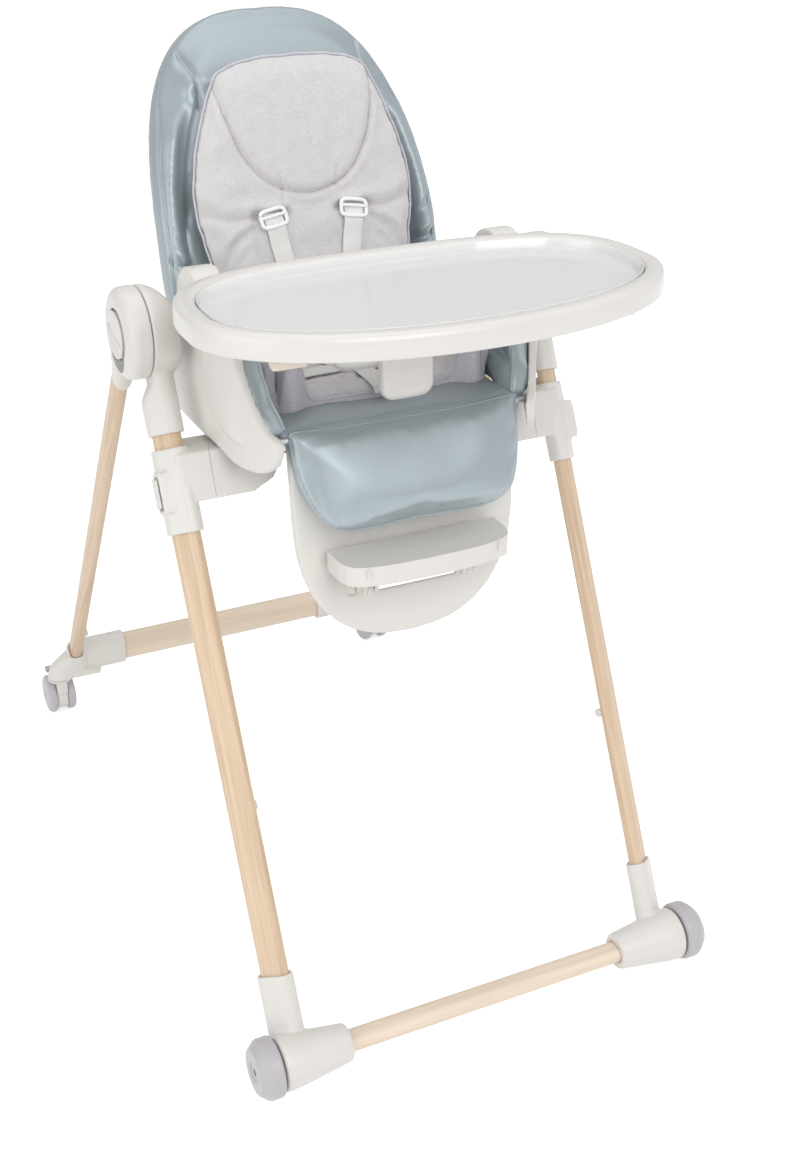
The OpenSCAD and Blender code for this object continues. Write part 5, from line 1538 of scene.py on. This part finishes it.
        # A dark sheet on the hub's face: painted shade in the finger gap below the button.
        gap = make_mesh(f"hub_finger_gap_{side.word}", self.hub.to_row(grid), grid_faces(7, 40, False, False))
        path = np.stack([np.full(30, s * self.ridge_depth), np.linspace(22, -23, 30),
                         np.linspace(6.5, -8.5, 30)], axis=1)
        ridge = tube(f"hub_button_ridge_{side.word}", self.hub.to_row(path), 0.55 * MM, 8)
        for piece, body, finish, slot in ((washer, "rear_frame", w.white, "white_plastic"),
                                          (gap, "rear_frame", w.gap, "grey_plastic"),
                                          (ridge, f"hub_button_{side.word}", w.white, "white_plastic")):
            w.fit(piece, finish, body, slot)

    def face_depth(self, radius: Array) -> Array:
        """How far out a hub's face lies at a radius."""
        return np.interp(radius, [35, 41, 46.5, 49.8], [271.0, 270.4, 268.0, 264.0])

    def shell_band(self, obj: bpy.types.Object, side: Side) -> None:
        """Raises a soft band along the front of a side shell, behind a shallow valley."""
        local = self.hub.to_local(vertices(obj))
        line = spline(self.shell_edge, 80)
        gap = distance_to(local[:, [1, 2]], line)
        back = np.interp(-local[:, 2], -line[:, 1], line[:, 0])
        ahead = smooth(((back - local[:, 1]) * 0.7 + 2) / 8) * smooth((30 - local[:, 2]) / 20)
        reach = np.abs(local[:, 0])
        outer = smooth((reach - 176) / 8) * smooth((reach - 181 + 0.17 * (local[:, 1] + 160)) / 6)
        local[:, 0] += side.value * outer * (self.band_rise * ahead - self.valley_depth * hill(gap, 0, 3.4))
        dome = hill(local[:, 1], -42.0, 46.0) * smooth((local[:, 2] - 26) / 34)
        local[:, 2] += self.armrest_dome * dome
        set_vertices(obj, self.hub.to_row(local))

    def slack(self, obj: bpy.types.Object) -> None:
        """Tapers a button's inner end, so that it moves freely in its softened pocket."""
        local = self.hub.to_local(vertices(obj))
        reach = np.abs(local[:, 0])
        deep = smooth(1.6 * (reach.max() - reach) / np.ptp(reach))
        flat = local[:, 1:]
        middle = (flat.max(axis=0) + flat.min(axis=0)) / 2
        flat -= (flat - middle) * (2 * self.button_taper / np.ptp(flat, axis=0).min() * deep)[:, None]
        local[:, 0] += np.sign(local[:, 0]) * self.button_lift * deep
        set_vertices(obj, self.hub.to_row(local))

    def bracket_seam(self, obj: bpy.types.Object, side: Side) -> None:
        """A dark line of painted shade along the parting line down the bracket's front."""
        ends = np.array(self.bracket_line, dtype=float) * [-side.value, 1, 1]
        lane = np.linspace(ends[0], ends[1], 30)
        path = lay_on(obj, self.hub, lane[:, [0, 2]], -160.0, np.array([0, 1, 0]), -0.15, (0, 2))
        # The dark cord is painted shade along the parting line.
        line = tube(f"bracket_line_{side.word}", path, 0.35 * MM, 6)
        self.wardrobe.fit(line, self.wardrobe.gap, "seat", "grey_plastic")

    def relaxed(self, node: str, cell: float, passes: int) -> bpy.types.Object:
        """One casting: voxel remesh at cell millimetres, then passes of neighbour averaging."""
        obj = copy_of(self.nodes[node], f"{node}_casting")
        remesh = obj.modifiers.new("cells", "REMESH")
        remesh.mode, remesh.voxel_size, remesh.use_smooth_shade = "VOXEL", cell * MM, True
        relax = obj.modifiers.new("relax", "SMOOTH")
        relax.factor, relax.iterations = 0.5, passes
        bake(obj)
        finish = self.wardrobe.cream if node.startswith("tray_latch") else self.wardrobe.white
        self.wardrobe.fit(obj, finish, self.bodies[node], "white_plastic", node)
        log.info("casting %s: %d faces", obj.name, len(obj.data.polygons))
        return obj


@dataclass
class TrimParts:
    """Frame nodes whose shape is right: they stay, with their own finish."""

    wardrobe: Wardrobe
    nodes: dict[str, bpy.types.Object]

    def build(self) -> None:
        """Dresses every node of the frame."""
        w = self.wardrobe
        finishes = (
            (("strap_adjusters",), w.white), (("front_leg*",), w.beech_front), (("rear_leg*",), w.beech_rear),
            (("*crossbar",), w.beech_bar), (("*pins", "*rod", "*axle*"), w.steel), (("*wheel*", "brake*"), w.grey),
            (("tray_latch*",), w.cream), (("tray_insert",), w.clear), (("tray",), w.tray_white),
            (("*pad", "*bolster_left", "*bolster_right"), w.coated), (("*liner",), w.jersey),
            (("*strap_*", "*straps", "crotch_strap"), w.thread), (("*",), w.white),
        )
        for name, obj in self.nodes.items():
            w.dress(obj, next(finish for stems, finish in finishes if any(fnmatch(name, stem) for stem in stems)))


# ------------------------------------------------------------------ studio


@dataclass
class Studio:
    """Pale floor, soft lamps and the camera."""

    eye: tuple[float, float, float] = (-0.71942, -1.71480, 1.31882)
    azimuth: float = -25.62
    elevation: float = 26.92
    roll: float = -0.05
    lens: float = 50.677

    def build(self) -> None:
        """Sets up the floor, the lights, the world and the camera."""
        scene = bpy.context.scene
        scene.view_settings.view_transform = "Standard"
        self.floor()
        self.lamps()
        self.world()
        self.camera()

    def floor(self) -> None:
        """A wide pale floor that shows white to the camera and keeps the chair's shadow."""
        a = np.linspace(-1, 1, 9) * 9.0
        x, y = np.meshgrid(a, a, indexing="ij")
        floor = make_mesh("studio_floor", np.stack([x, y, 0 * x - 0.0002], axis=-1), grid_faces(9, 9, False, False))
        g = Graph("studio_floor")
        g.set(Base_Color=(0.86, 0.86, 0.86), Roughness=0.9, Specular_IOR_Level=0.1)
        glow = g.add("ShaderNodeEmission", {}, {"Color": (1, 1, 1, 1), "Strength": 0.6})
        both = g.add("ShaderNodeAddShader", {}, {0: g.shader.outputs[0], 1: glow.outputs[0]})
        rays = g.add("ShaderNodeLightPath", {}, {})
        seen = Expr(g, rays.outputs["Is Camera Ray"]) + Expr(g, rays.outputs["Is Glossy Ray"]) \
            + Expr(g, rays.outputs["Is Transmission Ray"])
        pick = g.add("ShaderNodeMixShader", {}, {0: seen.clamp(), 1: g.shader.outputs[0], 2: both.outputs[0]})
        g.feed(g.output.inputs[0], pick.outputs[0])
        floor.data.materials.append(g.material)

    def lamps(self) -> None:
        """A large frontal key, a top light, and a weak fill from each side."""
        for name, place, aim, size, power in (
            ("key", (0.0, -3.0, 2.45), (0, -0.1, 0.55), 2.0, 43.0),
            ("top", (0.2, 0.2, 3.5), (0, 0.0, 0.8), 2.2, 18.0),
            ("left_fill", (-2.7, -1.1, 1.4), (0, 0, 0.6), 2.2, 24.0),
            ("right_fill", (2.8, -1.2, 1.9), (0, 0, 0.6), 2.4, 8.0),
        ):
            data = bpy.data.lights.new(name, "AREA")
            data.shape, data.size, data.energy = "SQUARE", size, power
            lamp = bpy.data.objects.new(name, data)
            lamp.location = place
            lamp.rotation_mode = "QUATERNION"
            lamp.rotation_quaternion = (Vector(aim) - Vector(place)).to_track_quat("-Z", "Y")
            bpy.context.scene.collection.objects.link(lamp)

    def world(self) -> None:
        """An even pale surround that the camera sees as white."""
        world = bpy.data.worlds.new("surround")
        world.use_nodes = True
        tree = world.node_tree
        tree.nodes.clear()
        soft = tree.nodes.new("ShaderNodeBackground")
        soft.inputs[0].default_value, soft.inputs[1].default_value = (1, 1, 1, 1), 0.62
        white = tree.nodes.new("ShaderNodeBackground")
        white.inputs[0].default_value, white.inputs[1].default_value = (1, 1, 1, 1), 1.0
        rays = tree.nodes.new("ShaderNodeLightPath")
        mix = tree.nodes.new("ShaderNodeMixShader")
        out = tree.nodes.new("ShaderNodeOutputWorld")
        tree.links.new(rays.outputs["Is Camera Ray"], mix.inputs[0])
        tree.links.new(soft.outputs[0], mix.inputs[1])
        tree.links.new(white.outputs[0], mix.inputs[2])
        tree.links.new(mix.outputs[0], out.inputs[0])
        bpy.context.scene.world = world

    def camera(self) -> None:
        """The camera at the eye point, turned by azimuth, elevation and roll."""
        data = bpy.data.cameras.new("camera")
        data.sensor_width, data.lens = 36.0, self.lens
        data.clip_start, data.clip_end = 0.05, 60.0
        cam = bpy.data.objects.new("camera", data)
        a, e = math.radians(self.azimuth), math.radians(self.elevation)
        back = Vector((math.sin(a) * math.cos(e), -math.cos(a) * math.cos(e), math.sin(e)))
        cam.location = self.eye
        cam.rotation_mode = "QUATERNION"
        cam.rotation_quaternion = (-back).to_track_quat("-Z", "Y") @ Matrix.Rotation(
            math.radians(self.roll), 3, "Z").to_quaternion()
        bpy.context.scene.collection.objects.link(cam)
        bpy.context.scene.camera = cam


# ------------------------------------------------------------------ the chair


def joint_frame(joints: Iterable[dict], name: str, lean: float) -> Frame:
    """The frame at a joint's pivot, with a lean about X."""
    place = next(tuple(j["pos_m"]) for j in joints if j["name"] == name)
    return Frame(place, lean)


def main() -> None:
    """Builds the studio and dresses the chair."""
    logging.basicConfig(level=logging.INFO, format="%(message)s")
    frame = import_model()
    nodes, joints = frame["nodes"], frame["joints"]
    bodies = {n: b for b, group in frame["record"]["behaviour"]["bodies"].items() for n in group}
    Studio().build()
    wardrobe = Wardrobe()
    TrimParts(wardrobe, nodes).build()
    hub = joint_frame(joints, "rear_frame_fold", 0.0)
    leg = joint_frame(joints, "leg_rest_lift", 6.0)
    Castings(wardrobe, nodes, bodies, hub=hub, leg=leg).build()
    Backrest(wardrobe, joint_frame(joints, "backrest_recline", 15.0), hub).build()
    Seat(wardrobe, nodes, hub).build()
    LegRest(wardrobe, nodes, leg).build()
    Tray(wardrobe, hub.shifted(0.0, -222.0, 82.0)).build()


if __name__ == "__main__":
    main()
